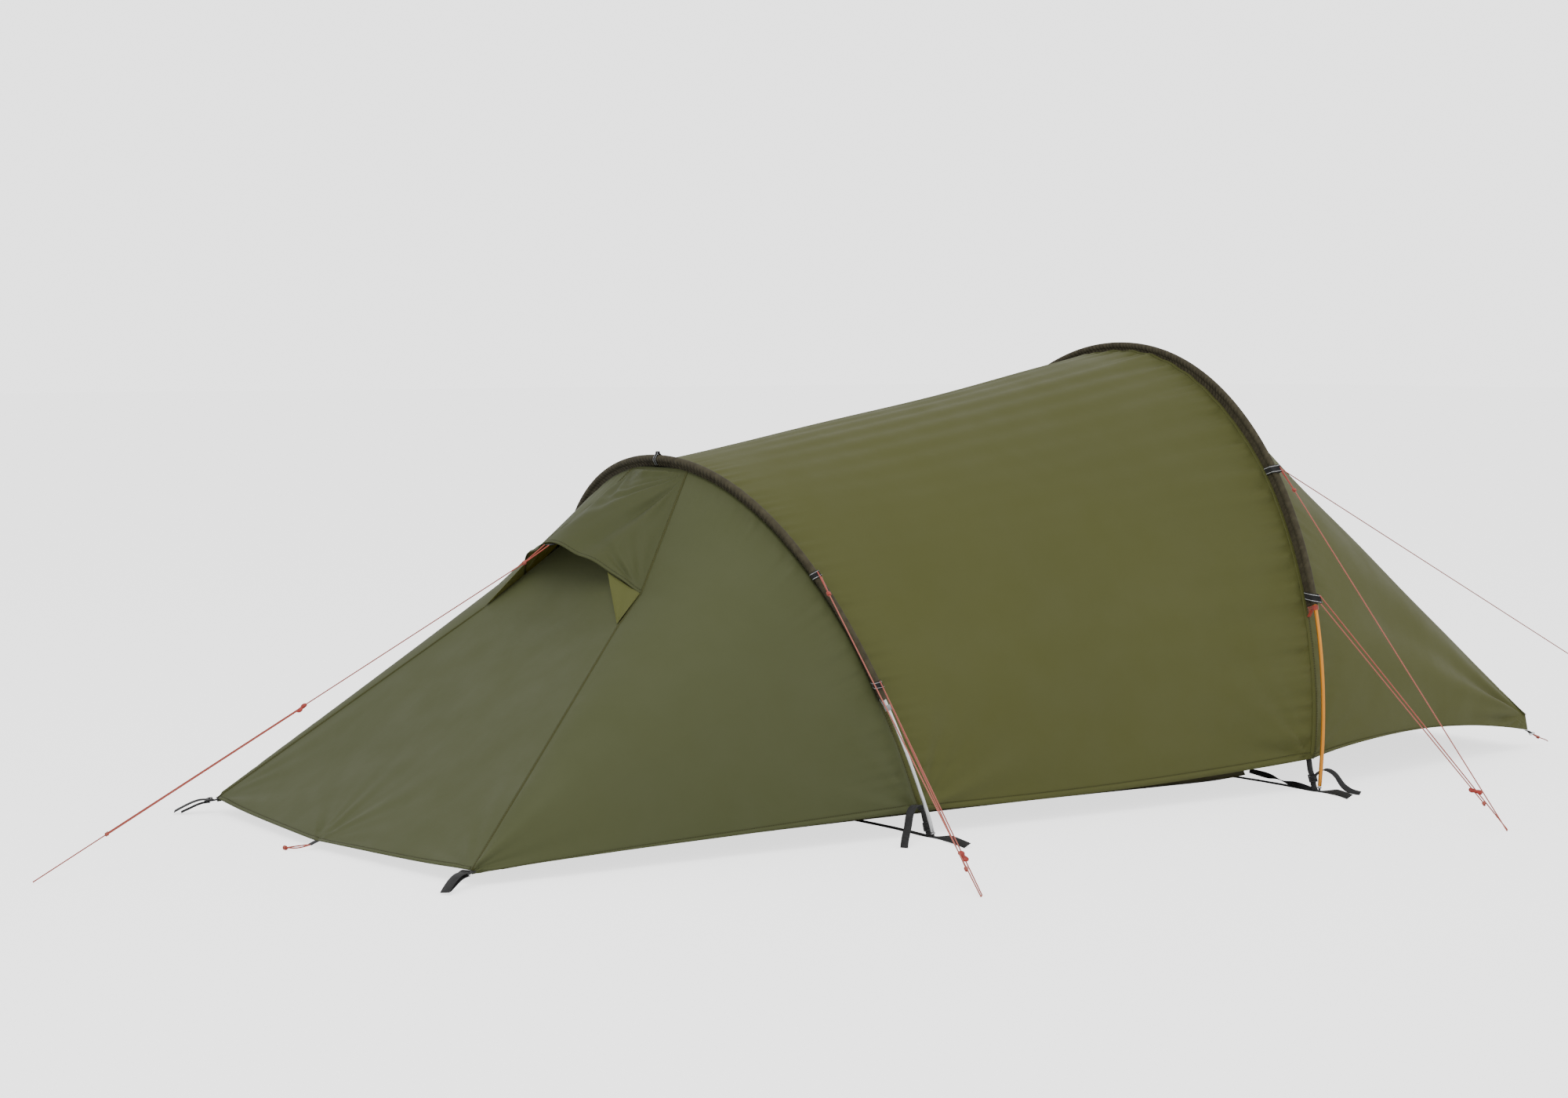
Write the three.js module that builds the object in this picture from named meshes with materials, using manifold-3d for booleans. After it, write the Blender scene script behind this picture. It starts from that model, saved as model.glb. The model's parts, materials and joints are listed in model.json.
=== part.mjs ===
// A two-hoop tunnel tent, pitched. Millimetres, +Z up. The origin is on the ground, on the centre line,
// midway between the two hoops. +X runs from the low foot end to the tall door end, and the near side is -Y.
import * as THREE from "three";
import { mergeVertices } from "three/addons/utils/BufferGeometryUtils.js";
import Module from "manifold-3d";

const wasm = await Module();
wasm.setup();

// ---- driving dimensions ----
const HOOP_SPACING = 1148;
const LOW_SPEC = {
  x: -HOOP_SPACING / 2, width: 1393, height: 852, lean: -17, bulge: -0.026, radius: 4.25, sections: 5,
};
const TALL_SPEC = {
  x: HOOP_SPACING / 2, width: 1566, height: 1080, lean: 4.7, bulge: 0.016, radius: 4.75, sections: 6,
};
const HOOP_POWER = 2 / 2.063;
const STEPS_PER_SECTION = 6;
const POLE_WALL = 0.6;
const FERRULE_SLACK = 0.4;
const TIP_LENGTH = 12;

const FABRIC = 1;
const SEAM_GAP = 1.6;
const PANEL_GAP = 5;
const SLEEVE_INSET = 28.5;
const SLEEVE_DEPTH = 27;
const TUNNEL_RADIUS = 6.6;
const TUNNEL_SKIN = 1.2;
const LOW_SLEEVE_START = 4;
const TALL_SLEEVE_START = 5.5;

const LOW_HEM = 61;
const TALL_HEM = 77;
const BODY_HEM_SAG = 14;
const RIDGE_HALF_LOW = 118;
const RIDGE_HALF_TALL = 100;

const CORNER_HEM = 12;
const FOLD_GAP = 3;
const ZIP_HALF_GAP = 2.5;

const FOOT_CORNER = new THREE.Vector3(-1674, -564, 33);
const FOOT_MIDDLE = new THREE.Vector3(-1713, 0, 15);
const HOOD_CORNER = new THREE.Vector3(-1038, -241, 528);
const HOOD_PEAK = new THREE.Vector3(-1116, 0, 631);
const GUSSET_FOOT = new THREE.Vector3(-1124, -277, 465);
const VENT_SILL = new THREE.Vector3(-999, -140, 616);
const VENT_TOP = new THREE.Vector3(-840, -92, 738);
const HOOD_ARCH = 1.7; // power of the hood's front edge
const GUSSET_SHARE = 0.2; // how far down the foot panel's edge the gusset ends

const PORCH_CORNER = new THREE.Vector3(1583, -620, 48);
const PORCH_CORNER_TOP = new THREE.Vector3(1575, -618, 90);
const PORCH_HEM_ARCH = 37;
const ZIP_TOP = new THREE.Vector3(807, 0, 897);
const ZIP_FOOT = new THREE.Vector3(1640, 0, 30);
const LEAF_FOOT = new THREE.Vector3(1586, -604, 50);

const LOOP_LENGTH = 22;
const LOW_LOOPS = { upper: 571, lower: 336 };
const TALL_LOOPS = { upper: 769, lower: 463 };
const LOOP_TAB = 20;

const CORD = 1.3;
const KNOT = 5;
const BIGHT = 4.5;
const STRAND_TAIL = 12;
const STRAND_HALF = 3.5;
const RUNNER = { width: 16, depth: 9, length: 34, hole: 2 };
const FOOT_KNOT = new THREE.Vector3(-1191, 0, 587);
const FOOT_ANCHOR = new THREE.Vector3(-2349, 0, 2);
const LOW_ANCHOR = new THREE.Vector3(-940, -1264, 2);
const TALL_ANCHOR = new THREE.Vector3(475, -1417, 2);
const FORWARD_ANCHOR = new THREE.Vector3(2231, -665, 2);

const STRAP = { width: 20, thickness: 1.5, lift: 0.2 };
const LOW_STRAP_HALF = 842;
const TALL_STRAP_HALF = 905;
const EYE_RADIUS = 4;
const RISER_INSET = 12;
const LOW_RISER_TOP = new THREE.Vector3(LOW_SPEC.x, -672, LOW_HEM - 6);
const TALL_RISER_TOP = new THREE.Vector3(TALL_SPEC.x, -746, TALL_HEM - 6);
const BUCKLE = { width: 28, height: 20, thickness: 5, slot: 3, place: 0.42 };
const FOOT_LOOP = { start: new THREE.Vector3(-1680, -567, 27), peg: new THREE.Vector3(-1752, -592, 4) };
const PORCH_LOOP = { start: new THREE.Vector3(1590, -625, 40), peg: new THREE.Vector3(1668, -641, 4) };

const TUB = {
  front: 545,
  back: -1470,
  frontHalf: 590,
  backHalf: 470,
  wall: 60,
  skin: 2,
  floor: 4,
  corner: 40,
};
const INNER_GAP = 4;
const INNER_FRONT = { x: 540, top: 960 };
const DOORWAY = { x: 530, half: 350, sill: 110, shoulder: 420, rise: 200, gap: 4 };

// Colour, roughness and metalness of each material.
const COLOURS = {
  fly: [0x6a6c40, 0.75, 0],
  sleeve: [0x3c352c, 0.85, 0],
  silver: [0xd8dadb, 0.3, 0.9],
  orange: [0xd9862b, 0.35, 0.8],
  tip: [0x8d8f92, 0.35, 0.9],
  cord: [0xb5382c, 0.8, 0],
  runner: [0xa8271f, 0.5, 0],
  webbing: [0x17181a, 0.9, 0],
  buckle: [0x101112, 0.4, 0],
  floor: [0x3d4128, 0.7, 0],
  inner: [0xc9b56a, 0.8, 0],
  mesh: [0x22231f, 0.9, 0],
  shock: [0xf0efe8, 0.8, 0],
};

// ---- small helpers ----
const tent = new THREE.Group();
const farSide = new THREE.Group();
farSide.scale.y = -1;
tent.add(farSide);

function material(kind) {
  const [color, roughness, metalness] = COLOURS[kind];
  return new THREE.MeshStandardMaterial({ color, roughness, metalness });
}

function add(name, geometry, kind, parent = tent) {
  const mesh = new THREE.Mesh(geometry, material(kind));
  mesh.name = name;
  parent.add(mesh);
  return mesh;
}

// A piece and its mirror image on the other side of the tent, both from the near side's shape.
function addPair(name, geometry, kind) {
  add(`${name}_near`, geometry, kind);
  add(`${name}_far`, geometry, kind, farSide);
}

function toSolid(geometry) {
  const loose = geometry.index ? geometry.toNonIndexed() : geometry;
  const bare = new THREE.BufferGeometry().setAttribute("position", loose.getAttribute("position"));
  const merged = mergeVertices(bare, 1e-3);
  const vertProperties = merged.attributes.position.array;
  return new wasm.Manifold(new wasm.Mesh({ numProp: 3, vertProperties, triVerts: merged.index.array }));
}

function toGeometry(solid) {
  const mesh = solid.getMesh();
  const geometry = new THREE.BufferGeometry();
  geometry.setAttribute("position", new THREE.BufferAttribute(new Float32Array(mesh.vertProperties), 3));
  geometry.setIndex(new THREE.BufferAttribute(new Uint32Array(mesh.triVerts), 1));
  return geometry;
}

function join(geometries) {
  return toGeometry(geometries.map(toSolid).reduce((sum, next) => sum.add(next)));
}

function cut(geometry, tools) {
  return toGeometry(tools.map(toSolid).reduce((rest, tool) => rest.subtract(tool), toSolid(geometry)));
}

function mix(a, b, share) {
  return new THREE.Vector3().lerpVectors(a, b, share);
}

// The same point on the near side (-1) or the far side (+1).
function onSide(point, side) {
  return new THREE.Vector3(point.x, -side * point.y, point.z);
}

// A frame at a point, with +Y along a direction, +X level and square to it, and +Z completing it.
function frameAlong(origin, direction) {
  const along = direction.clone().normalize();
  const level = new THREE.Vector3().crossVectors(along, new THREE.Vector3(0, 0, 1)).normalize();
  const normal = new THREE.Vector3().crossVectors(level, along);
  return new THREE.Matrix4().makeBasis(level, along, normal).setPosition(origin);
}

// A sheet of cloth as a closed solid: a grid of points, thickened half to each side.
function cloth(rows, thickness = FABRIC) {
  const tall = rows.length;
  const wide = rows[0].length;
  const front = [];
  const back = [];
  for (let i = 0; i < tall; i++) {
    for (let j = 0; j < wide; j++) {
      const down = rows[Math.min(i + 1, tall - 1)][j].clone().sub(rows[Math.max(i - 1, 0)][j]);
      const across = rows[i][Math.min(j + 1, wide - 1)].clone().sub(rows[i][Math.max(j - 1, 0)]);
      const normal = down.cross(across).setLength(thickness / 2);
      front.push(rows[i][j].clone().add(normal));
      back.push(rows[i][j].clone().sub(normal));
    }
  }
  const half = front.length;
  const at = (i, j) => i * wide + j;
  const index = [];
  const quad = (a, b, c, d) => index.push(a, b, c, a, c, d);
  for (let i = 0; i < tall - 1; i++) {
    for (let j = 0; j < wide - 1; j++) {
      quad(at(i, j), at(i + 1, j), at(i + 1, j + 1), at(i, j + 1));
      quad(half + at(i, j), half + at(i, j + 1), half + at(i + 1, j + 1), half + at(i + 1, j));
    }
  }
  const rim = (a, b) => quad(a, half + a, half + b, b);
  for (let i = 0; i < tall - 1; i++) {
    rim(at(i, 0), at(i + 1, 0));
    rim(at(i + 1, wide - 1), at(i, wide - 1));
  }
  for (let j = 0; j < wide - 1; j++) {
    rim(at(0, j + 1), at(0, j));
    rim(at(tall - 1, j), at(tall - 1, j + 1));
  }
  const geometry = new THREE.BufferGeometry().setFromPoints([...front, ...back]);
  geometry.setIndex(index);
  return geometry;
}

function grid(rowShares, columnShares, pointAt) {
  return rowShares.map((r) => columnShares.map((c) => pointAt(r, c)));
}

function shares(count, from = 0, to = 1) {
  return Array.from({ length: count + 1 }, (_, i) => from + ((to - from) * i) / count);
}

function onPath(stops, share) {
  const last = stops.length - 2;
  const i = Math.min(last, Math.max(0, stops.findLastIndex((s) => s.share <= share)));
  const local = (share - stops[i].share) / (stops[i + 1].share - stops[i].share);
  return mix(stops[i].point, stops[i + 1].point, local);
}

// ---- hoops ----
// The arch of a pole bent between two feet, in its own plane: x across, y up.
class ArchCurve extends THREE.Curve {
  constructor({ width, height, bulge }) {
    super();
    Object.assign(this, { halfWidth: width / 2, height, bulge });
    this.arcLengthDivisions = 800;
  }

  getPoint(t, target = new THREE.Vector3()) {
    const turn = Math.PI * t;
    const up = Math.max(0, Math.sin(turn)) ** HOOP_POWER;
    const across = -Math.sign(Math.cos(turn)) * Math.abs(Math.cos(turn)) ** HOOP_POWER;
    const swell = 1 + this.bulge * Math.sin(Math.PI * up);
    return target.set(across * this.halfWidth * swell, up * this.height, 0);
  }
}

// A stretch of an arch that passes through given stations, so that parts on one pole share their facets.
class StationPath extends THREE.Curve {
  constructor(arch, stations) {
    super();
    Object.assign(this, { arch, stations });
  }

  stationAt(u) {
    return this.stations[Math.round(u * (this.stations.length - 1))];
  }

  getPoint(u, target) {
    return this.arch.getPointAt(this.stationAt(u), target);
  }

  getPointAt(u, target) {
    return this.getPoint(u, target);
  }

  getTangentAt(u, target) {
    return this.arch.getTangentAt(this.stationAt(u), target);
  }
}

class Hoop {
  constructor(spec) {
    Object.assign(this, spec);
    this.arch = new ArchCurve(spec);
    this.steps = spec.sections * STEPS_PER_SECTION;
    const lean = THREE.MathUtils.degToRad(spec.lean);
    const up = new THREE.Vector3(Math.sin(lean), 0, Math.cos(lean));
    const aside = new THREE.Vector3(Math.cos(lean), 0, -Math.sin(lean));
    const across = new THREE.Vector3(0, 1, 0);
    this.frame = new THREE.Matrix4().makeBasis(across, up, aside).setPosition(spec.x, 0, 0);
    this.rise = up.z;
    this.group = new THREE.Group();
    this.group.applyMatrix4(this.frame);
    tent.add(this.group);
  }

  // Share of the arch's length at a pole station, counted from the near foot.
  station(step) {
    const tip = TIP_LENGTH / this.arch.getLength();
    return tip + (1 - 2 * tip) * (step / this.steps);
  }

  stations(from, to) {
    const whole = [];
    for (let step = Math.floor(from) + 1; step < to; step++) whole.push(step);
    return [from, ...whole, to].map((step) => this.station(step));
  }

  sweep(shape, stations, curveSegments) {
    const extrudePath = new StationPath(this.arch, stations);
    return new THREE.ExtrudeGeometry(shape, { steps: stations.length - 1, curveSegments, extrudePath });
  }

  // Share of the arch's length at which the near side reaches a height above the ground.
  shareAtHeight(height) {
    let low = 0;
    let high = 0.5;
    for (let i = 0; i < 40; i++) {
      const middle = (low + high) / 2;
      if (this.arch.getPointAt(middle).y * this.rise < height) low = middle;
      else high = middle;
    }
    return low;
  }

  // Share of the arch's length at which the near side of the top is a distance from the centre line.
  shareAtHalfWidth(halfWidth) {
    let low = 0;
    let high = 0.5;
    for (let i = 0; i < 40; i++) {
      const middle = (low + high) / 2;
      if (-this.arch.getPointAt(middle).x > halfWidth) low = middle;
      else high = middle;
    }
    return low;
  }

  // A point beside the pole: inset towards the middle of the arch, and aside along the tent.
  beside(share, inset, aside = 0) {
    const point = this.arch.getPointAt(share);
    const tangent = this.arch.getTangentAt(share);
    point.x += tangent.y * inset;
    point.y -= tangent.x * inset;
    point.z = aside;
    return point.applyMatrix4(this.frame);
  }
}

const low = new Hoop(LOW_SPEC);
const tall = new Hoop(TALL_SPEC);

function circle(radius) {
  return new THREE.Shape().absarc(0, 0, radius, 0, 2 * Math.PI);
}

const HEXAGON = 3;
const SQUARE = 2;
const OCTAGON = 4;

// One pole section: a tube whose far end is drawn down to a ferrule that plugs into the next section.
function poleSection(hoop, number) {
  const first = number * STEPS_PER_SECTION;
  const last = first + STEPS_PER_SECTION;
  const isLast = number === hoop.sections - 1;
  const bore = circle(hoop.radius - POLE_WALL);
  const overrun = 0.1;
  const tube = hoop.sweep(circle(hoop.radius), hoop.stations(first, last), HEXAGON);
  if (isLast) {
    const ends = [hoop.station(first - overrun), hoop.station(last + overrun)];
    const through = hoop.sweep(bore, [ends[0], ...hoop.stations(first, last), ends[1]], HEXAGON);
    return cut(tube, [through]);
  }
  const ferruleRadius = hoop.radius - POLE_WALL - FERRULE_SLACK;
  const ferrule = hoop.sweep(circle(ferruleRadius), hoop.stations(last - 1, last + 1), HEXAGON);
  const stations = [hoop.station(first - overrun), ...hoop.stations(first, last - 1)];
  const socket = hoop.sweep(bore, stations, HEXAGON);
  const cordWay = hoop.sweep(
    circle(ferruleRadius - POLE_WALL),
    [...hoop.stations(last - 2, last + 1), hoop.station(last + 1 + overrun)],
    HEXAGON,
  );
  return cut(join([tube, ferrule]), [socket, cordWay]);
}

function poleTip(hoop, end) {
  const start = hoop.arch.getPointAt(hoop.station(end === 0 ? 0 : hoop.steps));
  const next = hoop.arch.getPointAt(hoop.station(end === 0 ? 1 : hoop.steps - 1));
  const shoulder = TIP_LENGTH - 0.4;
  const outline = [
    [0, 1.5],
    [2.5, 1.5],
    [2.5, 8],
    [5, 8],
    [5, shoulder],
    [2.7, shoulder],
    [2.7, 26],
    [0, 26],
  ];
  const geometry = new THREE.LatheGeometry(outline.map(([r, y]) => new THREE.Vector2(r, y)), 8);
  const direction = next.clone().sub(start).normalize();
  const turn = new THREE.Quaternion().setFromUnitVectors(new THREE.Vector3(0, 1, 0), direction);
  geometry.applyQuaternion(turn);
  const foot = start.addScaledVector(direction, -TIP_LENGTH);
  return geometry.translate(foot.x, foot.y, foot.z);
}

// A webbing loop round the sleeve, with a tab that holds the guy line.
function webbingLoop(hoop, share) {
  const half = LOOP_LENGTH / 2 / hoop.arch.getLength();
  const radius = TUNNEL_RADIUS + 3;
  const shape = new THREE.Shape();
  const gap = Math.asin(2 / radius);
  shape.moveTo(2, LOOP_TAB);
  shape.lineTo(-2, LOOP_TAB);
  shape.absarc(0, 0, radius, Math.PI / 2 + gap, 2.5 * Math.PI - gap, false);
  shape.closePath();
  shape.holes.push(new THREE.Path().absarc(0, 0, TUNNEL_RADIUS + 0.5, 0, 2 * Math.PI, true));
  return hoop.sweep(shape, [share - half, share + half], HEXAGON);
}

function sleeve(hoop, startStep, loopShares) {
  const outer = TUNNEL_RADIUS + TUNNEL_SKIN;
  const shape = new THREE.Shape();
  shape.absarc(0, 0, outer, -Math.PI / 3, (4 * Math.PI) / 3, false);
  shape.lineTo(-1, -SLEEVE_DEPTH);
  shape.lineTo(1, -SLEEVE_DEPTH);
  shape.closePath();
  shape.holes.push(new THREE.Path().absarc(0, 0, TUNNEL_RADIUS, 0, 2 * Math.PI, true));
  const tube = hoop.sweep(shape, hoop.stations(startStep, hoop.steps - startStep), HEXAGON);
  return join([tube, ...loopShares.map((share) => webbingLoop(hoop, share))]);
}

function buildHoop(hoop, label, poleKind, sleeveStart, loopShares) {
  for (let i = 0; i < hoop.sections; i++) {
    add(`${label}_pole_section_${i + 1}`, poleSection(hoop, i), poleKind, hoop.group);
  }
  add(`${label}_pole_tip_near`, poleTip(hoop, 0), "tip", hoop.group);
  add(`${label}_pole_tip_far`, poleTip(hoop, 1), "tip", hoop.group);
  const cordStations = hoop.stations(0.4, hoop.steps - 0.4);
  add(`${label}_pole_shock_cord`, hoop.sweep(circle(CORD), cordStations, SQUARE), "shock", hoop.group);
  add(`${label}_pole_sleeve`, sleeve(hoop, sleeveStart, loopShares), "sleeve", hoop.group);
}

function loopShares(hoop, { upper, lower }) {
  return { upper: hoop.shareAtHeight(upper), lower: hoop.shareAtHeight(lower) };
}

const lowShares = loopShares(low, LOW_LOOPS);
const tallShares = loopShares(tall, TALL_LOOPS);
const bothSides = (marks) => [marks.upper, marks.lower, 1 - marks.upper, 1 - marks.lower];
buildHoop(low, "low", "silver", LOW_SLEEVE_START, [0.5, ...bothSides(lowShares)]);
buildHoop(tall, "tall", "orange", TALL_SLEEVE_START, bothSides(tallShares));

// ---- fly sheet ----
const lowHemShare = low.shareAtHeight(LOW_HEM);
const tallHemShare = tall.shareAtHeight(TALL_HEM);
const lowEdge = (share, aside) => low.beside(share, SLEEVE_INSET, aside);
const tallEdge = (share, aside) => tall.beside(share, SLEEVE_INSET, aside);

function flyBody() {
  const rows = grid(shares(4), shares(22), (along, around) => {
    const start = lowEdge(THREE.MathUtils.lerp(lowHemShare, 1 - lowHemShare, around), SEAM_GAP);
    const end = tallEdge(THREE.MathUtils.lerp(tallHemShare, 1 - tallHemShare, around), -SEAM_GAP);
    const point = mix(start, end, along);
    const nearHem = Math.abs(2 * around - 1) ** 8;
    point.z -= 4 * BODY_HEM_SAG * along * (1 - along) * nearHem;
    return point;
  });
  return cloth(rows);
}

const SEAM_STOPS = [HOOD_CORNER, GUSSET_FOOT, FOOT_CORNER];
const seamTop = low.beside(low.shareAtHalfWidth(RIDGE_HALF_LOW), SLEEVE_INSET, -SEAM_GAP);
const seamShare = (point) => (point.x - seamTop.x) / (FOOT_CORNER.x - seamTop.x);
const footSeam = [seamTop, ...SEAM_STOPS].map((point) => ({ share: seamShare(point), point }));

// The near side panel of the foot end, between the low hoop, the seam over the corner, and the hem.
function footSide() {
  const topShare = low.shareAtHalfWidth(RIDGE_HALF_LOW);
  const kinks = footSeam.map((stop) => stop.share);
  const alongShares = [kinks[0], kinks[1] / 2, kinks[1], kinks[2], 0.52, 0.68, 0.84, 0.997];
  const rows = grid(alongShares, shares(11), (along, down) => {
    const hoopPoint = lowEdge(THREE.MathUtils.lerp(topShare, lowHemShare, down), -SEAM_GAP);
    const straight = mix(hoopPoint, FOOT_CORNER, along);
    const pull = onPath(footSeam, along).sub(mix(seamTop, FOOT_CORNER, along));
    straight.addScaledVector(pull, (1 - down) ** 3);
    straight.z += CORNER_HEM * (1 - down) * along ** 8;
    return straight;
  });
  return cloth(rows);
}

function inboard(point, distance) {
  return new THREE.Vector3(point.x, point.y + distance, point.z);
}

// The sloping end panel between the two corner seams, from the vent sill to the hem.
function footFront() {
  const edge = [
    { share: 0, point: inboard(VENT_SILL, PANEL_GAP) },
    { share: GUSSET_SHARE, point: inboard(GUSSET_FOOT, PANEL_GAP) },
    { share: 1, point: inboard(FOOT_CORNER, PANEL_GAP + 3) },
  ];
  const hemBow = FOOT_MIDDLE.clone().sub(new THREE.Vector3(FOOT_CORNER.x, 0, FOOT_CORNER.z));
  const rows = grid([0, GUSSET_SHARE, 0.4, 0.6, 0.8, 1], shares(8, -1, 1), (down, across) => {
    const near = onPath(edge, down);
    const point = new THREE.Vector3(near.x, -near.y * across, near.z);
    return point.addScaledVector(hemBow, (1 - across * across) * down * down);
  });
  return cloth(rows);
}

// The netting of the vent, behind the hood, from the sill up to the hoop.
function ventNetting() {
  const sill = VENT_SILL.clone().addScalar(PANEL_GAP + FABRIC);
  const rows = grid(shares(2), shares(4, -1, 1), (up, across) => {
    const near = mix(sill, VENT_TOP, up);
    return new THREE.Vector3(near.x, -near.y * across, near.z);
  });
  return cloth(rows);
}

// The hood's front edge, an arch from corner to corner through its peak. Across runs from -1 to 1.
function hoodEdge(across) {
  const bow = HOOD_CORNER.x - HOOD_PEAK.x;
  const drop = HOOD_PEAK.z - HOOD_CORNER.z;
  const half = -HOOD_CORNER.y - PANEL_GAP;
  const height = HOOD_PEAK.z - drop * Math.abs(across) ** HOOD_ARCH;
  return new THREE.Vector3(HOOD_PEAK.x + bow * across ** 2, half * across, height);
}

function hoodSurface(out, across) {
  const reach = 0.5 - low.shareAtHalfWidth(RIDGE_HALF_LOW - PANEL_GAP);
  return mix(lowEdge(0.5 + reach * across, -SEAM_GAP), hoodEdge(across), out);
}

// The triangle of cloth that closes the hood's side, from its front edge down to the end panel.
function hoodGusset(side) {
  const foot = new THREE.Vector3(GUSSET_FOOT.x, -side * (GUSSET_FOOT.y + 9), GUSSET_FOOT.z + 11);
  const rows = grid([0, 0.5, 1], shares(3, 0.7, 0.99), (down, across) => {
    const hem = hoodSurface(0.97, side * across);
    const lower = foot.clone().add(new THREE.Vector3(0, side * 6 * (across - 0.85), 0));
    return mix(hem, lower, down);
  });
  return cloth(rows);
}

function ventHood() {
  return join([cloth(grid(shares(4), shares(10, -1, 1), hoodSurface)), hoodGusset(-1), hoodGusset(1)]);
}

const porchTopShare = tall.shareAtHalfWidth(RIDGE_HALF_TALL);

// The near wing of the porch, from the tall hoop to the pegged corner.
function porchSide() {
  const rows = grid([0, 0.2, 0.4, 0.6, 0.8, 0.94, 1], shares(12), (along, down) => {
    const hoopPoint = tallEdge(THREE.MathUtils.lerp(porchTopShare, tallHemShare, down), SEAM_GAP);
    const point = mix(hoopPoint, mix(PORCH_CORNER_TOP, PORCH_CORNER, down), along);
    point.z += 4 * PORCH_HEM_ARCH * along * (1 - along) * down ** 6;
    return point;
  });
  return cloth(rows);
}

// The fixed part of the porch front: a cap under the hoop and a strip down each ridge to its corner.
function porchFront() {
  const capShare = 0.12;
  const capEnd = tall.shareAtHalfWidth(RIDGE_HALF_TALL - PANEL_GAP);
  const cornerTop = PORCH_CORNER_TOP.clone().add(new THREE.Vector3(2, 9, -4));
  const cornerFoot = LEAF_FOOT.clone().add(new THREE.Vector3(-6, 1, 9));
  const cap = ZIP_TOP.clone().add(new THREE.Vector3(-6, 0, 6));
  const outwards = [0.05, capShare, 0.24, 0.4, 0.6, 0.8, 1];
  const across = [...outwards.map((size) => -size).reverse(), 0, ...outwards];
  const rows = grid([0, 0.5, 1], across, (inward, place) => {
    const size = Math.abs(place);
    const hoopPoint = tallEdge(THREE.MathUtils.lerp(0.5, capEnd, Math.min(1, size / capShare)), SEAM_GAP);
    const outer = mix(hoopPoint, cornerTop, Math.max(0, (size - capShare) / (1 - capShare)));
    const inner = mix(cap, cornerFoot, size);
    return onSide(mix(outer, inner, inward), place < 0 ? -1 : 1);
  });
  return cloth(rows);
}

// The near leaf of the porch door: the triangle between the zip and the fold line to the corner.
function porchLeaf() {
  const rows = grid([0.03, 0.3, 0.55, 0.8, 1], shares(4), (down, across) => {
    const hinge = mix(ZIP_TOP, LEAF_FOOT, down);
    const zip = mix(ZIP_TOP, ZIP_FOOT, down);
    const width = hinge.distanceTo(zip);
    return mix(hinge, zip, THREE.MathUtils.lerp(FOLD_GAP / width, 1 - ZIP_HALF_GAP / width, across));
  });
  return cloth(rows);
}

add("fly_body", flyBody(), "fly");
addPair("foot_side", footSide(), "fly");
add("foot_front_panel", footFront(), "fly");
add("vent_netting", ventNetting(), "mesh");
add("vent_hood", ventHood(), "fly");
addPair("porch_side", porchSide(), "fly");
add("porch_front_panel", porchFront(), "fly");
addPair("porch_door", porchLeaf(), "fly");

// A zip slider with its pull tab, built with +Y along the zip and +Z away from the cloth.
function zipSlider(origin, along, across) {
  const body = new THREE.BoxGeometry(9, 14, 4).translate(-5.5, 0, 2);
  const pull = new THREE.BoxGeometry(5, 22, 1.6).translate(-5.5, -16, 4);
  const normal = new THREE.Vector3().crossVectors(across, along).normalize();
  const frame = new THREE.Matrix4().makeBasis(across, along, normal).setPosition(origin);
  return join([body, pull]).applyMatrix4(frame);
}

function porchZipSlider() {
  const along = ZIP_TOP.clone().sub(ZIP_FOOT).normalize();
  const across = new THREE.Vector3(0, 1, 0);
  const outward = new THREE.Vector3().crossVectors(across, along);
  const origin = mix(ZIP_TOP, ZIP_FOOT, 0.9).addScaledVector(outward, FABRIC / 2 + 1.2);
  return zipSlider(origin, along, across);
}

add("porch_zip_slider", porchZipSlider(), "buckle");

// ---- inner tent ----
function tubHalfWidth(x) {
  return THREE.MathUtils.mapLinear(x, TUB.back, TUB.front, TUB.backHalf, TUB.frontHalf);
}

function tubOutline(inset) {
  const shape = new THREE.Shape();
  const front = TUB.front - inset;
  const back = TUB.back + inset;
  const frontHalf = tubHalfWidth(front) - inset;
  const backHalf = tubHalfWidth(back) - inset;
  const r = TUB.corner - inset;
  shape.moveTo(front, -frontHalf + r);
  shape.lineTo(front, frontHalf - r);
  shape.quadraticCurveTo(front, frontHalf, front - r, frontHalf);
  shape.lineTo(back + r, backHalf);
  shape.quadraticCurveTo(back, backHalf, back, backHalf - r);
  shape.lineTo(back, -backHalf + r);
  shape.quadraticCurveTo(back, -backHalf, back + r, -backHalf);
  shape.lineTo(front - r, -frontHalf);
  shape.quadraticCurveTo(front, -frontHalf, front, -frontHalf + r);
  return shape;
}

function tubFloor() {
  const options = { bevelEnabled: false, curveSegments: 3 };
  const block = new THREE.ExtrudeGeometry(tubOutline(0), { ...options, depth: TUB.wall });
  const hollow = new THREE.ExtrudeGeometry(tubOutline(TUB.skin), { ...options, depth: TUB.wall });
  hollow.translate(0, 0, TUB.floor);
  const grooveDepth = STRAP.lift + STRAP.thickness + 0.6;
  const groove = new THREE.BoxGeometry(STRAP.width + 6, 2 * TUB.frontHalf + 40, 2 * grooveDepth);
  groove.translate(LOW_SPEC.x, 0, 0);
  return cut(block, [hollow, groove]);
}

// Cross-sections of the inner tent's roof, from the door end to the foot end.
const INNER_SECTIONS = [
  { x: INNER_FRONT.x, top: INNER_FRONT.top },
  { x: -30, top: 850 },
  { x: LOW_SPEC.x - 30, top: 738 },
  { x: -830, top: 690 },
  { x: -1150, top: 415 },
  { x: -1455, top: 155 },
  { x: -1463, top: TUB.wall + INNER_GAP + 10 },
];

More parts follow.
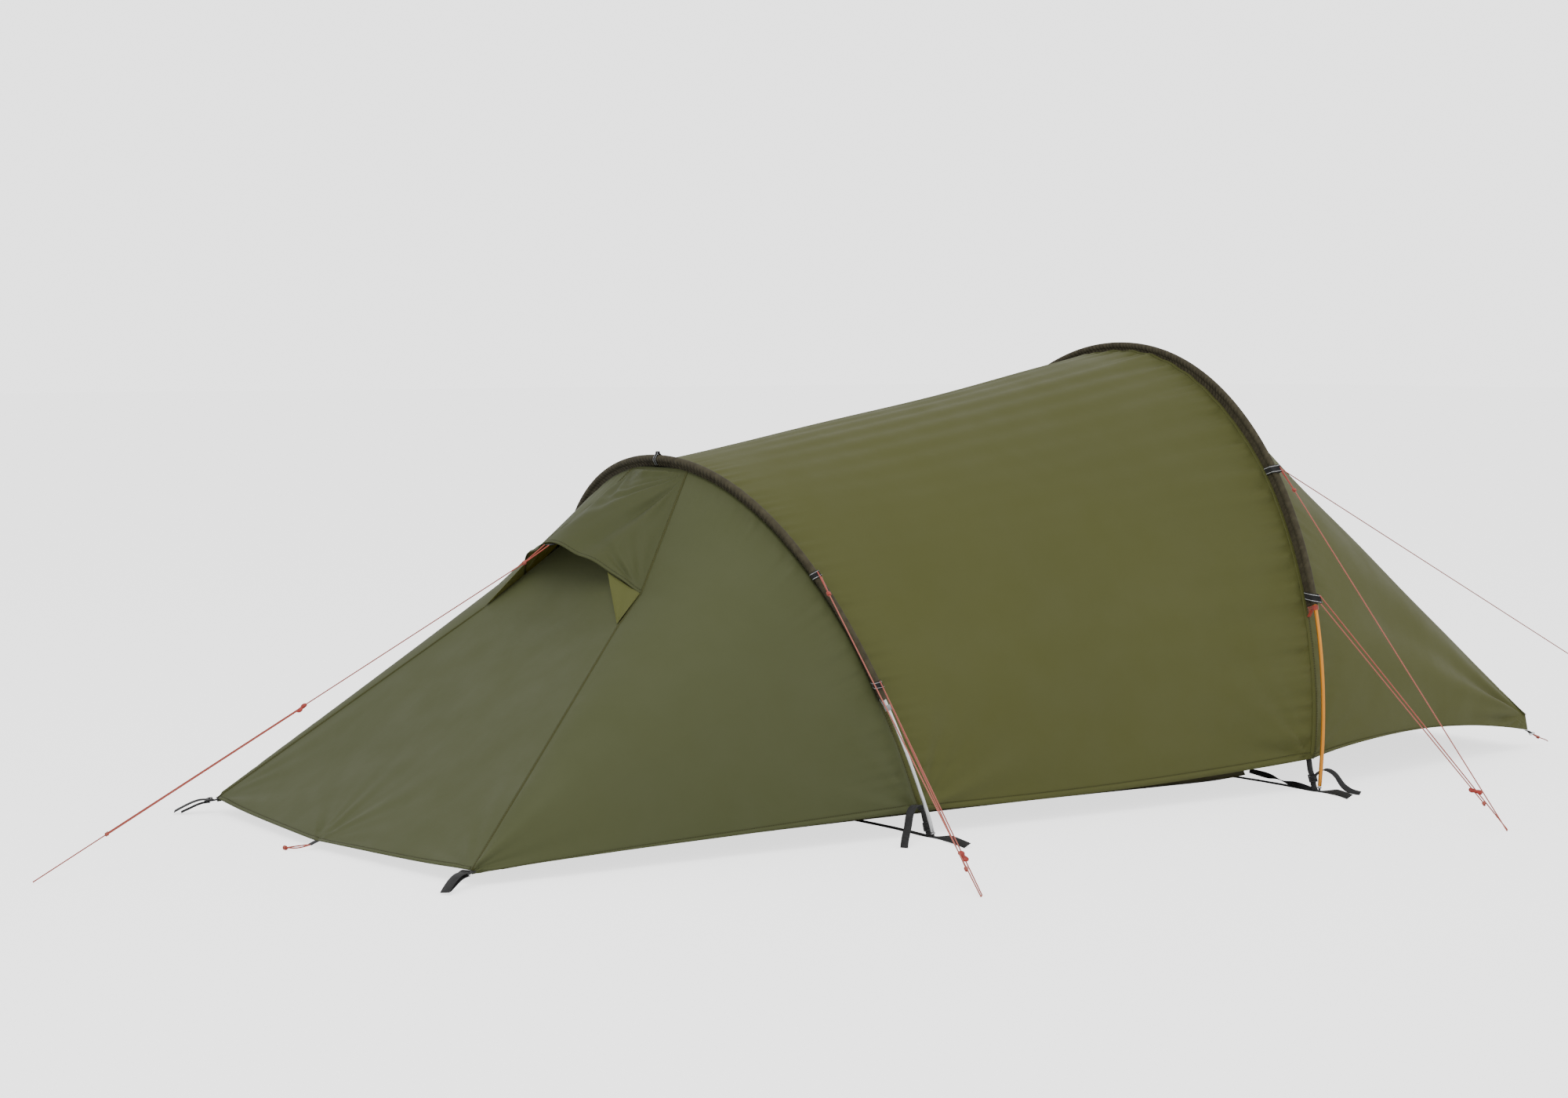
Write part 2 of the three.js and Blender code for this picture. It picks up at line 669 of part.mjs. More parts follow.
function innerArchPoint({ x, top }, around, inset = 0) {
  const turn = Math.PI * around;
  const base = TUB.wall + INNER_GAP;
  const half = tubHalfWidth(x) - 2 - inset;
  const across = -Math.sign(Math.cos(turn)) * Math.abs(Math.cos(turn)) ** HOOP_POWER;
  const up = Math.max(0, Math.sin(turn)) ** HOOP_POWER;
  return new THREE.Vector3(x, half * across, base + (top - base - inset) * up);
}

function innerCanopy() {
  return cloth(INNER_SECTIONS.map((section) => shares(16).map((around) => innerArchPoint(section, around))));
}

// The outline of the doorway or of its door, in the plane across the tent.
function doorOutline(path, inset) {
  const half = DOORWAY.half - inset;
  const sill = DOORWAY.sill + inset;
  path.moveTo(-half, sill);
  path.lineTo(half, sill);
  path.lineTo(half, DOORWAY.shoulder);
  path.absellipse(0, DOORWAY.shoulder, half, DOORWAY.rise - inset, 0, Math.PI, false, 0);
  path.lineTo(-half, sill);
  return path;
}

// Turns a panel drawn in (across, up) into one that stands across the tent.
function standAcross(geometry, x) {
  const basis = new THREE.Matrix4().makeBasis(
    new THREE.Vector3(0, 1, 0),
    new THREE.Vector3(0, 0, 1),
    new THREE.Vector3(1, 0, 0),
  );
  return geometry.applyMatrix4(basis.setPosition(x, 0, 0));
}

function innerFrontWall() {
  const outline = shares(16).map((around) => innerArchPoint(INNER_FRONT, around, 6));
  const shape = new THREE.Shape(outline.map((point) => new THREE.Vector2(point.y, point.z)));
  shape.holes.push(doorOutline(new THREE.Path(), 0));
  const panel = new THREE.ExtrudeGeometry(shape, { depth: FABRIC, bevelEnabled: false, curveSegments: 4 });
  return standAcross(panel, DOORWAY.x);
}

function innerDoor() {
  const shape = doorOutline(new THREE.Shape(), DOORWAY.gap);
  const panel = new THREE.ExtrudeGeometry(shape, { depth: FABRIC, bevelEnabled: false, curveSegments: 4 });
  return standAcross(panel, DOORWAY.x);
}

function innerZipSlider() {
  const latch = -DOORWAY.half + DOORWAY.gap;
  const origin = new THREE.Vector3(DOORWAY.x + FABRIC + 0.5, latch + 11, DOORWAY.sill + 60);
  return zipSlider(origin, new THREE.Vector3(0, 0, 1), new THREE.Vector3(0, 1, 0));
}

add("inner_tub_floor", tubFloor(), "floor");
add("inner_canopy", innerCanopy(), "inner");
add("inner_front_wall", innerFrontWall(), "inner");
add("inner_door", innerDoor(), "inner");
add("inner_zip_slider", innerZipSlider(), "buckle");

// ---- guy lines ----
function rod(from, to, radius = CORD) {
  const direction = to.clone().sub(from);
  const geometry = new THREE.CylinderGeometry(radius, radius, direction.length(), 5);
  geometry.translate(0, direction.length() / 2, 0);
  return geometry.applyMatrix4(frameAlong(from, direction));
}

function knot(at, radius = KNOT) {
  return new THREE.SphereGeometry(radius, 6, 4).translate(at.x, at.y, at.z);
}

// A dog-bone runner: two strands pass through it, side by side.
function runner(frame, distance) {
  const { width, depth, length, hole } = RUNNER;
  const shape = new THREE.Shape();
  shape.absarc(-width / 2 + depth / 2, 0, depth / 2, Math.PI / 2, 1.5 * Math.PI, false);
  shape.absarc(width / 2 - depth / 2, 0, depth / 2, -Math.PI / 2, Math.PI / 2, false);
  for (const x of [-STRAND_HALF, STRAND_HALF]) {
    shape.holes.push(new THREE.Path().absarc(x, 0, hole, 0, 2 * Math.PI, true));
  }
  const options = { depth: length, bevelEnabled: false, curveSegments: OCTAGON };
  const bar = new THREE.ExtrudeGeometry(shape, options);
  bar.rotateX(-Math.PI / 2).translate(0, distance - length / 2, 0);
  return bar.applyMatrix4(frame);
}

function strand(frame, x, from, to) {
  const start = new THREE.Vector3(x, from, 0).applyMatrix4(frame);
  const end = new THREE.Vector3(x, to, 0).applyMatrix4(frame);
  return rod(start, end);
}

// A single guy: hangers from the tent meet at a knot; below it the line runs through a runner to the
// peg and back up to the runner. The runner and the merge are placed by their distance from the peg.
function singleGuy({ hangers, head, anchor, runnerAt, mergeAt }) {
  const direction = head.clone().sub(anchor);
  const frame = frameAlong(anchor, direction);
  const merge = new THREE.Vector3(0, mergeAt, 0).applyMatrix4(frame);
  const line = join([
    ...hangers.map((hanger) => rod(hanger, head)),
    knot(head),
    strand(frame, STRAND_HALF, mergeAt, direction.length()),
    strand(frame, -STRAND_HALF, mergeAt, runnerAt + RUNNER.length / 2 + STRAND_TAIL),
    knot(merge),
    rod(anchor, merge),
  ]);
  return { line, slider: runner(frame, runnerAt) };
}

// A V guy: one strand from the upper loop to the peg, and from the peg through a runner to the lower
// loop and back down to the runner.
function veeGuy({ upper, lower, anchor, runnerAt }) {
  const direction = lower.clone().sub(anchor);
  const frame = frameAlong(anchor, direction);
  const head = mix(upper, anchor, 0.08);
  const turn = mix(anchor, new THREE.Vector3(STRAND_HALF, 0, 0).applyMatrix4(frame), 0.5).setZ(BIGHT + 0.3);
  const line = join([
    rod(anchor, head),
    knot(head, BIGHT),
    rod(head, upper),
    knot(turn, BIGHT),
    strand(frame, STRAND_HALF, 0.5, direction.length()),
    strand(frame, -STRAND_HALF, runnerAt - RUNNER.length / 2 - STRAND_TAIL, direction.length()),
    knot(lower, BIGHT),
  ]);
  return { line, slider: runner(frame, runnerAt) };
}

function addGuyPair(name, { line, slider }) {
  addPair(`${name}_line`, line, "cord");
  addPair(`${name}_runner`, slider, "runner");
}

// Distances from the peg, up the line.
const FOOT_GUY = { runnerAt: 675, mergeAt: 178 };
const FORWARD_GUY = { runnerAt: 330, mergeAt: 150 };
const HOOP_RUNNER_AT = 130;
const TAB_REACH = -(LOOP_TAB + KNOT + 1);
const hoopTab = (hoop, share, aside = 0) => hoop.beside(share, TAB_REACH, aside);

function hoopGuy(hoop, marks, anchor) {
  const upper = hoopTab(hoop, marks.upper);
  const lower = hoopTab(hoop, marks.lower);
  return veeGuy({ upper, lower, anchor, runnerAt: HOOP_RUNNER_AT });
}

function footGuy() {
  const tabs = [-1, 1].map((side) => HOOD_PEAK.clone().add(new THREE.Vector3(-15, 12 * side, -5)));
  return singleGuy({ hangers: tabs, head: FOOT_KNOT, anchor: FOOT_ANCHOR, ...FOOT_GUY });
}

function forwardGuy() {
  const start = hoopTab(tall, tallShares.upper, 14);
  const head = mix(start, FORWARD_ANCHOR, 0.03);
  return singleGuy({ hangers: [start], head, anchor: FORWARD_ANCHOR, ...FORWARD_GUY });
}

const foot = footGuy();
add("foot_guy_line", foot.line, "cord");
add("foot_guy_runner", foot.slider, "runner");
addGuyPair("low_guy", hoopGuy(low, lowShares, LOW_ANCHOR));
addGuyPair("tall_guy", hoopGuy(tall, tallShares, TALL_ANCHOR));
addGuyPair("forward_guy", forwardGuy());

// ---- webbing on the ground ----
// The near riser: a strip of webbing from the foot strap to the hem, just inboard of the pole foot.
function riserFrame(hoop, top) {
  const foot = new THREE.Vector3(hoop.x, -hoop.width / 2 + RISER_INSET, STRAP.lift + STRAP.thickness / 2);
  const direction = top.clone().sub(foot);
  const along = direction.clone().normalize();
  const across = new THREE.Vector3(1, 0, 0);
  const normal = new THREE.Vector3().crossVectors(across, along);
  const frame = new THREE.Matrix4().makeBasis(across, along, normal).setPosition(foot);
  return { frame, reach: direction.length() };
}

// One long strip under the tent from foot to foot, with an eye for each pole tip and a riser to each hem.
function baseStrap(hoop, half, riserTop) {
  const strip = new THREE.BoxGeometry(STRAP.width, 2 * half, STRAP.thickness);
  strip.translate(hoop.x, 0, STRAP.lift + STRAP.thickness / 2);
  const { frame, reach } = riserFrame(hoop, riserTop);
  const riser = new THREE.BoxGeometry(STRAP.width, reach, STRAP.thickness);
  riser.translate(0, reach / 2, 0).applyMatrix4(frame);
  const farRiser = riser.clone().rotateZ(Math.PI).translate(2 * hoop.x, 0, 0);
  const eyes = [-1, 1].map((side) => {
    const eye = new THREE.CylinderGeometry(EYE_RADIUS, EYE_RADIUS, 20, 8).rotateX(Math.PI / 2);
    return eye.translate(hoop.x, (side * hoop.width) / 2, 0);
  });
  return cut(join([strip, riser, farRiser]), eyes);
}

// A ladder-lock: a frame round the riser.
function ladderLock(hoop, riserTop) {
  const { width, height, thickness, slot, place } = BUCKLE;
  const block = new THREE.BoxGeometry(width, height, thickness);
  const opening = new THREE.BoxGeometry(STRAP.width + 2, height + 10, slot);
  const { frame, reach } = riserFrame(hoop, riserTop);
  return cut(block, [opening]).translate(0, reach * place, 0).applyMatrix4(frame);
}

// A pegging loop: a strip of webbing from a hem corner down to the ground, with an eye for the peg.
function cornerLoop({ start, peg }) {
  const direction = peg.clone().sub(start);
  const reach = direction.length();
  const half = STRAP.width / 2 - 1;
  const shape = new THREE.Shape();
  shape.moveTo(-half, 0);
  shape.lineTo(half, 0);
  shape.absarc(0, reach - half, half, 0, Math.PI, false);
  shape.lineTo(-half, 0);
  shape.holes.push(new THREE.Path().absarc(0, reach - half, EYE_RADIUS, 0, 2 * Math.PI, true));
  const options = { depth: STRAP.thickness, bevelEnabled: false, curveSegments: OCTAGON };
  return new THREE.ExtrudeGeometry(shape, options).applyMatrix4(frameAlong(start, direction));
}

add("low_hoop_base_strap", baseStrap(low, LOW_STRAP_HALF, LOW_RISER_TOP), "webbing");
add("tall_hoop_base_strap", baseStrap(tall, TALL_STRAP_HALF, TALL_RISER_TOP), "webbing");
addPair("low_foot_buckle", ladderLock(low, LOW_RISER_TOP), "buckle");
addPair("tall_foot_buckle", ladderLock(tall, TALL_RISER_TOP), "buckle");
addPair("foot_corner_loop", cornerLoop(FOOT_LOOP), "webbing");
addPair("porch_corner_loop", cornerLoop(PORCH_LOOP), "webbing");

export default tent;
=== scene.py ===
"""A pitched tunnel tent: cloth panels with gathers and folds, ribbed pole sleeves, cords, webbing and zips
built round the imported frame. Metres, +Z up. The near side is -Y, and the far side mirrors it."""
import json
import math

import bpy
import numpy as np
from mathutils import Matrix, Vector


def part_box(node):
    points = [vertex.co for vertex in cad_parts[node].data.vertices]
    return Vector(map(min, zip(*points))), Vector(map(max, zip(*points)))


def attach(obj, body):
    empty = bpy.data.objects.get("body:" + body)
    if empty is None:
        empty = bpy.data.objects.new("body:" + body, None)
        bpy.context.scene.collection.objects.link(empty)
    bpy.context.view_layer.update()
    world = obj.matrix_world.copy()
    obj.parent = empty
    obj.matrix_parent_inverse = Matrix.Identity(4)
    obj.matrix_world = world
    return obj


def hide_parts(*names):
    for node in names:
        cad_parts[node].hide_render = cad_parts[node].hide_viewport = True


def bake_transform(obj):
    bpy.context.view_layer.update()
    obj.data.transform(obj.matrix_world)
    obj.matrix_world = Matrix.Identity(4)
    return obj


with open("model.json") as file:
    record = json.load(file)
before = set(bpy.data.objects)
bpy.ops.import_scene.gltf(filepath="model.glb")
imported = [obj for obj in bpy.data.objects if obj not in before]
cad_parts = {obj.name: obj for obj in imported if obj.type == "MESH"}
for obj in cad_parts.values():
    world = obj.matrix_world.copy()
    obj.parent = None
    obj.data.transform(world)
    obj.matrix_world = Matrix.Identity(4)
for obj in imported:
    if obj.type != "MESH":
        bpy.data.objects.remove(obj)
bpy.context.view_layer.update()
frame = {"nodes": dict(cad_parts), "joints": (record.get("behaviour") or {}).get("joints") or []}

ROOT = "tent"
ACROSS = np.array([0, 1.0, 0])
UP = np.array([0, 0, 1.0])
MIRROR = np.array([1.0, -1.0, 1.0])
SIDES = (("near", np.ones(3)), ("far", MIRROR))
CLOTH = 0.0006
SEAM = 0.0007
# The shares of a hoop's length from its foot, and how far inside the pole the cloth is sewn there.
SEWN_INSETS = {
    "low": ((0.04, 0.20, 0.30), (0.0275, 0.0115, 0.017)),
    "tall": ((0.33, 0.46), (0.0275, 0.015)),
}


# ---- reading the frame ----
def vertices(node):
    return np.array([v.co for v in frame["nodes"][node].data.vertices])


def nearest(node, *place):
    """The vertex of a CAD node nearest a place."""
    points = vertices(node)
    return points[np.argmin(np.linalg.norm(points - np.array(place), axis=1))]


def corners(node):
    """A CAD node's lowest and highest corners."""
    return np.array(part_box(node))


def joint(name):
    return next(j for j in frame["joints"] if j["name"] == name)


def unit(v):
    v = np.asarray(v, float)
    return v / np.linalg.norm(v, axis=-1, keepdims=True)


def lerp(a, b, share):
    return a + (b - a) * share


def smooth(share):
    share = np.clip(share, 0, 1)
    return share * share * (3 - 2 * share)


def read_off(share, stops, points):
    """Points read off at shares between the stops of given points."""
    return np.stack([np.interp(share, stops, column) for column in np.asarray(points, float).T], axis=-1)


# ---- curves ----
class Spline:
    """A natural cubic spline through points, followed by its share of length."""

    STEPS = 2400

    def __init__(self, points):
        points = np.array(points, float)
        gaps = np.linalg.norm(np.diff(points, axis=0), axis=1)
        knots = np.concatenate([[0], np.cumsum(gaps)])
        count = len(points)
        system = np.eye(count)
        right = np.zeros_like(points)
        for i in range(1, count - 1):
            system[i, i - 1:i + 2] = gaps[i - 1], 2 * (gaps[i - 1] + gaps[i]), gaps[i]
            right[i] = 6 * ((points[i + 1] - points[i]) / gaps[i] - (points[i] - points[i - 1]) / gaps[i - 1])
        bends = np.linalg.solve(system, right)
        where = np.linspace(0, knots[-1], self.STEPS)
        i = np.clip(np.searchsorted(knots, where, side="right") - 1, 0, count - 2)
        gap = gaps[i][:, None]
        a = (knots[i + 1] - where)[:, None] / gap
        b = 1 - a
        curve = a * points[i] + b * points[i + 1]
        self.points = curve + ((a**3 - a) * bends[i] + (b**3 - b) * bends[i + 1]) * gap**2 / 6
        lengths = np.linalg.norm(np.diff(self.points, axis=0), axis=1)
        self.length = lengths.sum()
        self.shares = np.concatenate([[0], np.cumsum(lengths)]) / self.length
        self.tangents = unit(np.gradient(self.points, axis=0))
        self.stops = knots / knots[-1]

    def at(self, share):
        return read_off(share, self.shares, self.points)

    def tangent(self, share):
        return unit(read_off(share, self.shares, self.tangents))


class Hoop(Spline):
    """A hoop's centre line from its near foot to its far foot, read from the cord inside its pole."""

    def __init__(self, label):
        cord = np.unique(vertices(f"{label}_pole_shock_cord").round(5), axis=0)
        angle = np.arctan2(cord[:, 2], -cord[:, 1])
        order = np.argsort(angle)
        breaks = np.where(np.diff(angle[order]) > 0.02)[0] + 1
        rings = [cord[group].mean(axis=0) for group in np.split(order, breaks)]
        tip = vertices(f"{label}_pole_tip_near")
        foot = tip[tip[:, 2] < tip[:, 2].min() + 0.0004].mean(axis=0)
        super().__init__([foot, *rings, foot * MIRROR])
        up = unit(self.at(0.5) - foot * [1, 0, 1])
        self.aside = np.array([up[2], 0, -up[0]])
        self.label = label

    def beside(self, share, inset, aside=0.0):
        """Beside the pole: inset towards the middle of the arch, and aside along the tent."""
        share = np.asarray(share, float)
        inward = np.cross(self.tangent(share), self.aside)
        return self.at(share) + inward * np.expand_dims(inset, -1) + self.aside * np.expand_dims(aside, -1)

    def share_at_height(self, height):
        return self.shares[np.argmax(self.points[:, 2] >= height)]

    def share_at_half_width(self, half):
        rising = self.shares < 0.5
        top = self.points[:, 2] > 0.6 * self.points[:, 2].max()
        return self.shares[np.argmax(rising & top & (-self.points[:, 1] <= half))]

    def share_near(self, point):
        return self.shares[np.argmin(np.linalg.norm(self.points - point, axis=1))]

    def sewn_inset(self, share):
        """How far inside the pole the cloth is sewn at a share of the hoop's length."""
        from_foot = 0.5 - np.abs(np.asarray(share) - 0.5)
        return np.interp(from_foot, *SEWN_INSETS[self.label])

    def edge(self, share, aside):
        """Where the cloth's edge is sewn."""
        return self.beside(share, self.sewn_inset(share), aside)


low = Hoop("low")
tall = Hoop("tall")


# ---- meshes ----
def mesh_object(name, points, faces, material, smooth_faces=True):
    mesh = bpy.data.meshes.new(name)
    mesh.from_pydata(np.asarray(points, float).reshape(-1, 3).tolist(), [], faces)
    mesh.materials.append(material)
    mesh.polygons.foreach_set("use_smooth", [smooth_faces] * len(mesh.polygons))
    mesh.update()
    obj = bpy.data.objects.new(name, mesh)
    bpy.context.collection.objects.link(obj)
    return obj


def paint(obj, name, values):
    """Stores one number at each vertex, for a material to read."""
    attribute = obj.data.attributes.new(name, "FLOAT", "POINT")
    attribute.data.foreach_set("value", np.asarray(values, np.float32).ravel())


def grid_faces(rows, columns):
    index = np.arange(rows * columns).reshape(rows, columns)
    quads = np.stack([index[:-1, :-1], index[1:, :-1], index[1:, 1:], index[:-1, 1:]], axis=-1)
    return quads.reshape(-1, 4).tolist()


def ring_faces(count, ring, start=0):
    """A skin through rings of points, closed by a flat cap at each end."""
    index = np.arange(count * ring).reshape(count, ring) + start
    turned = np.roll(index, -1, axis=1)
    quads = np.stack([index[:-1], turned[:-1], turned[1:], index[1:]], axis=-1)
    return quads.reshape(-1, 4).tolist() + [index[0][::-1].tolist(), index[-1].tolist()]


def finish_piece(obj, body=ROOT, replaced=()):
    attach(obj, body)
    if replaced:
        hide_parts(*replaced)


def sheet(name, grid, material, thickness=CLOTH):
    """Cloth on a grid of points, thickened half to each side."""
    obj = mesh_object(name, grid, grid_faces(*grid.shape[:2]), material)
    solid = obj.modifiers.new("thickness", "SOLIDIFY")
    solid.thickness = thickness
    solid.offset = 0
    return obj


def cloth(name, grid, material, thickness=CLOTH, body=ROOT, replaced=()):
    finish_piece(sheet(name, grid, material, thickness), body, replaced)


def mirrored(grid):
    return (grid * MIRROR)[:, ::-1]


def cloth_pair(name, grid, material, node=None, thickness=CLOTH):
    """A near panel and its mirror image. Each replaces its side's CAD node, if there is one."""
    for side, points in (("near", grid), ("far", mirrored(grid))):
        cloth(f"{name}_{side}", points, material, thickness, replaced=[f"{node}_{side}"] if node else ())


def loft(name, sections, material):
    """A closed skin through rings of points."""
    return mesh_object(name, sections, ring_faces(*sections.shape[:2]), material)


def resample(points, spacing):
    """Points at an even spacing along a polyline."""
    points = np.array(points, float)
    lengths = np.concatenate([[0], np.cumsum(np.linalg.norm(np.diff(points, axis=0), axis=1))])
    count = max(2, int(lengths[-1] / spacing) + 1)
    return read_off(np.linspace(0, lengths[-1], count), lengths, points)


def curve_through(points, spacing):
    spline = Spline(points)
    return spline.at(np.linspace(0, 1, max(3, int(spline.length / spacing))))


def circle(count):
    turn = np.linspace(0, 2 * math.pi, count, endpoint=False)
    return np.cos(turn), np.sin(turn)


def tube_sections(path, radius, sides=8, hint=(0, 0, 1)):
    """Rings round a path. The hint is a direction that the path never takes."""
    tangent = unit(np.gradient(path, axis=0))
    across = unit(np.cross(tangent, np.broadcast_to(hint, path.shape)))
    normal = np.cross(across, tangent)
    cos, sin = circle(sides)
    radius = np.broadcast_to(radius, (len(path),))[:, None, None]
    offset = across[:, None] * cos[None, :, None] + normal[:, None] * sin[None, :, None]
    return path[:, None] + offset * radius


def outward_normals(grid):
    normal = unit(np.cross(np.gradient(grid, axis=0), np.gradient(grid, axis=1)))
    inside = np.array([0, 0, 0.2])
    return normal * np.sign(np.sum(normal * (grid - inside), axis=-1).mean())


def emboss(grid, depth):
    """Pushes a grid out along its normals by a depth at each point."""
    return grid + outward_normals(grid) * depth[..., None]


# ---- cloth shapes ----
def field(rows, columns):
    """Two shares from 0 to 1, down the rows and across the columns of a grid."""
    return np.meshgrid(np.linspace(0, 1, rows), np.linspace(0, 1, columns), indexing="ij")


def swell(points, size, seed):
    """Soft random undulation of about one unit, with features of about a size."""
    waves = 7
    rng = np.random.default_rng(seed)
    total = np.zeros(points.shape[:-1])
    for _ in range(waves):
        direction = unit(rng.normal(size=3))
        pitch = size * rng.uniform(0.7, 1.4)
        total += np.sin(points @ direction * (2 * math.pi / pitch) + rng.uniform(0, 6.28))
    return total / math.sqrt(waves)


def pucker(length, distance, pitch, reach, seed):
    """Gathers along a seam: ridges square to it that fade with distance from it."""
    rng = np.random.default_rng(seed)
    total = np.zeros_like(length)
    for scale in (0.8, 1.0, 1.37, 2.1):
        phase = rng.uniform(0, 6.28)
        wobble = 0.6 * np.sin(length * 2 * math.pi / (pitch * 9.3 * scale) + phase)
        total += np.sin(length * 2 * math.pi / (pitch * scale) + wobble * 4 + phase)
    return total / 2 * np.exp(-distance / reach) * smooth((distance - 0.009) / 0.016)


def fan(points, apex, toward, normal, count, reach, seed, rise=0.02):
    """Folds that spread from a corner: ridges along rays from it, over a reach."""
    rng = np.random.default_rng(seed)
    a = unit(toward)
    b = unit(np.cross(normal, a))
    offset = points - np.array(apex)
    distance = np.linalg.norm(offset, axis=-1)
    angle = np.arctan2(offset @ b, offset @ a)
    ridges = np.zeros_like(angle)
    for scale in (1.0, 1.7, 0.6):
        ridges += np.sin(angle * count * scale + rng.uniform(0, 6.28)) / (1 + scale)
    return ridges * smooth(distance / rise) * np.exp(-((distance / reach) ** 2))


# ---- materials ----
class Nodes:
    """A node tree, with short ways to add to it."""

    def __init__(self, tree):
        self.tree = tree

    def put(self, inputs, socket, value):
        """Gives a socket a number or a colour, or links it to another node's output."""
        if isinstance(value, bpy.types.NodeSocket):
            self.tree.links.new(value, inputs[socket])
        elif inputs[socket].type == "RGBA":
            inputs[socket].default_value = (*value, 1)
        else:
            inputs[socket].default_value = value

    def add(self, kind, inputs, **settings):
        """Adds a node and gives its outputs."""
        node = self.tree.nodes.new(f"ShaderNode{kind}")
        for setting, value in settings.items():
            setattr(node, setting, value)
        for socket, value in inputs.items():
            self.put(node.inputs, socket, value)
        return node.outputs


class Finish(Nodes):
    """A Principled material with its patterns."""

    def __init__(self, name, color, roughness=0.7, metallic=0.0, sheen=0.0, specular=0.5):
        self.material = bpy.data.materials.new(name)
        self.material.use_nodes = True
        super().__init__(self.material.node_tree)
        self.surface = self.tree.nodes["Principled BSDF"]
        self.drive("Base Color", color)
        self.drive("Roughness", roughness)
        self.drive("Metallic", metallic)
        self.drive("Sheen Weight", sheen)
        self.drive("Specular IOR Level", specular)
        self.place = self.add("TexCoord", {})["Object"]
        self.last_bump = None

    def drive(self, socket, value):
        self.put(self.surface.inputs, socket, value)

    def show(self, shader):
        self.put(self.tree.nodes["Material Output"].inputs, "Surface", shader)

    def attribute(self, name):
        return self.add("Attribute", {}, attribute_name=name)["Fac"]

    def noise(self, scale, detail, stretch=(1, 1, 1), distortion=0.0):
        place = self.add("Mapping", {"Scale": stretch, "Vector": self.place})["Vector"]
        inputs = {"Scale": scale, "Detail": detail, "Distortion": distortion, "Vector": place}
        return self.add("TexNoise", inputs)["Fac"]

    def threads(self, pitch, direction):
        """Fine parallel threads of a pitch, laid across a direction."""
        inputs = {"Scale": 0.314 / pitch, "Distortion": 0.6, "Detail": 1.0, "Vector": self.place}
        return self.add("TexWave", inputs, bands_direction=direction)["Fac"]

    def product(self, a, b):
        return self.add("Math", {0: a, 1: b}, operation="MULTIPLY")[0]

    def weave(self):
        return self.product(self.threads(0.0011, "X"), self.threads(0.0011, "Z"))

    def ramp(self, factor, *stops):
        """Two colours or greys along a factor, as (place, value) stops."""
        node = self.tree.nodes.new("ShaderNodeValToRGB")
        for element, (place, value) in zip(node.color_ramp.elements, stops):
            element.position = place
            element.color = (*value, 1) if isinstance(value, tuple) else (value, value, value, 1)
        self.put(node.inputs, "Fac", factor)
        return node.outputs["Color"]

    def mix(self, factor, a, b):
        return self.add("Mix", {0: factor, 6: a, 7: b}, data_type="RGBA")[2]

    def bump(self, height, distance, strength):
        """Adds a bump on top of the bumps so far."""
        inputs = {"Distance": distance, "Strength": strength, "Height": height}
        if self.last_bump:
            inputs["Normal"] = self.last_bump
        self.last_bump = self.add("Bump", inputs)["Normal"]
        self.drive("Normal", self.last_bump)

    def let_light_through(self, color, share):
        """Thin cloth glows a little with the light behind it."""
        glow = self.add("BsdfTranslucent", {"Color": color})[0]
        self.show(self.add("MixShader", {0: share, 1: self.surface.outputs[0], 2: glow})[0])

    def glow_to_camera(self, strength):
        """Reads brighter to the camera without lighting anything more."""
        camera_ray = self.add("LightPath", {})["Is Camera Ray"]
        glow = self.add("Emission", {"Strength": self.product(camera_ray, strength)})[0]
        self.show(self.add("AddShader", {0: self.surface.outputs[0], 1: glow})[0])


def scaled(color, factor):
    return tuple(channel * factor for channel in color)


def cloth_finish(name, color, glow=None, share=0.1, roughness=0.62):
    """Coated tent cloth: a fine weave, soft mottling and faint creases."""
    finish = Finish(name, color, roughness, sheen=0.06, specular=0.3)
    clouds = finish.noise(2.2, 3)
    drift = finish.ramp(clouds, (0.3, scaled(color, 0.955)), (0.7, scaled(color, 1.045)))
    weave = finish.weave()
    speck = finish.ramp(weave, (0.0, scaled(color, 0.93)), (0.8, scaled(color, 1.06)))
    finish.drive("Base Color", finish.mix(0.45, drift, speck))
    wear = finish.ramp(finish.noise(9, 4), (0.3, roughness - 0.07), (0.7, roughness + 0.08))
    finish.drive("Roughness", wear)
    finish.bump(weave, 0.00012, 0.5)
    finish.bump(finish.noise(16, 4, (1, 1, 0.6), 0.4), 0.0016, 0.35)
    if glow:
        finish.let_light_through(glow, share)
    return finish.material


def sleeve_finish():
    """Brown sleeve cloth with a random mottle, and painted shade down in its gathers, so that their tops read
    lighter.
    """
    finish = Finish("sleeve_cloth", (0.04, 0.032, 0.02), 0.78, sheen=0.04, specular=0.25)
    fold = finish.noise(60, 4)
    rubbed = finish.ramp(fold, (0.35, (0.044, 0.037, 0.020)), (0.7, (0.070, 0.061, 0.034)))
    # Painted shade: the gathers' troughs are mixed towards a near-black brown.
    finish.drive("Base Color", finish.mix(finish.attribute("painted_gather_shade"), rubbed, (0.010, 0.007, 0.004)))
    finish.bump(finish.weave(), 0.00015, 0.5)
    finish.bump(fold, 0.0006, 0.4)
    return finish.material


def webbing_finish():
    """Woven polyester tape: coarse ribs across it and random duller patches."""
    finish = Finish("black_webbing", (0.008, 0.008, 0.009), 0.75, sheen=0.08)
    ribs = finish.product(finish.threads(0.0016, "DIAGONAL"), finish.threads(0.0012, "Z"))
    tone = finish.ramp(ribs, (0.0, (0.0035, 0.0035, 0.004)), (0.7, (0.013, 0.013, 0.014)))
    finish.drive("Base Color", tone)
    finish.drive("Roughness", finish.ramp(finish.noise(45, 3), (0.3, 0.6), (0.7, 0.85)))
    finish.bump(ribs, 0.0004, 0.8)
    return finish.material


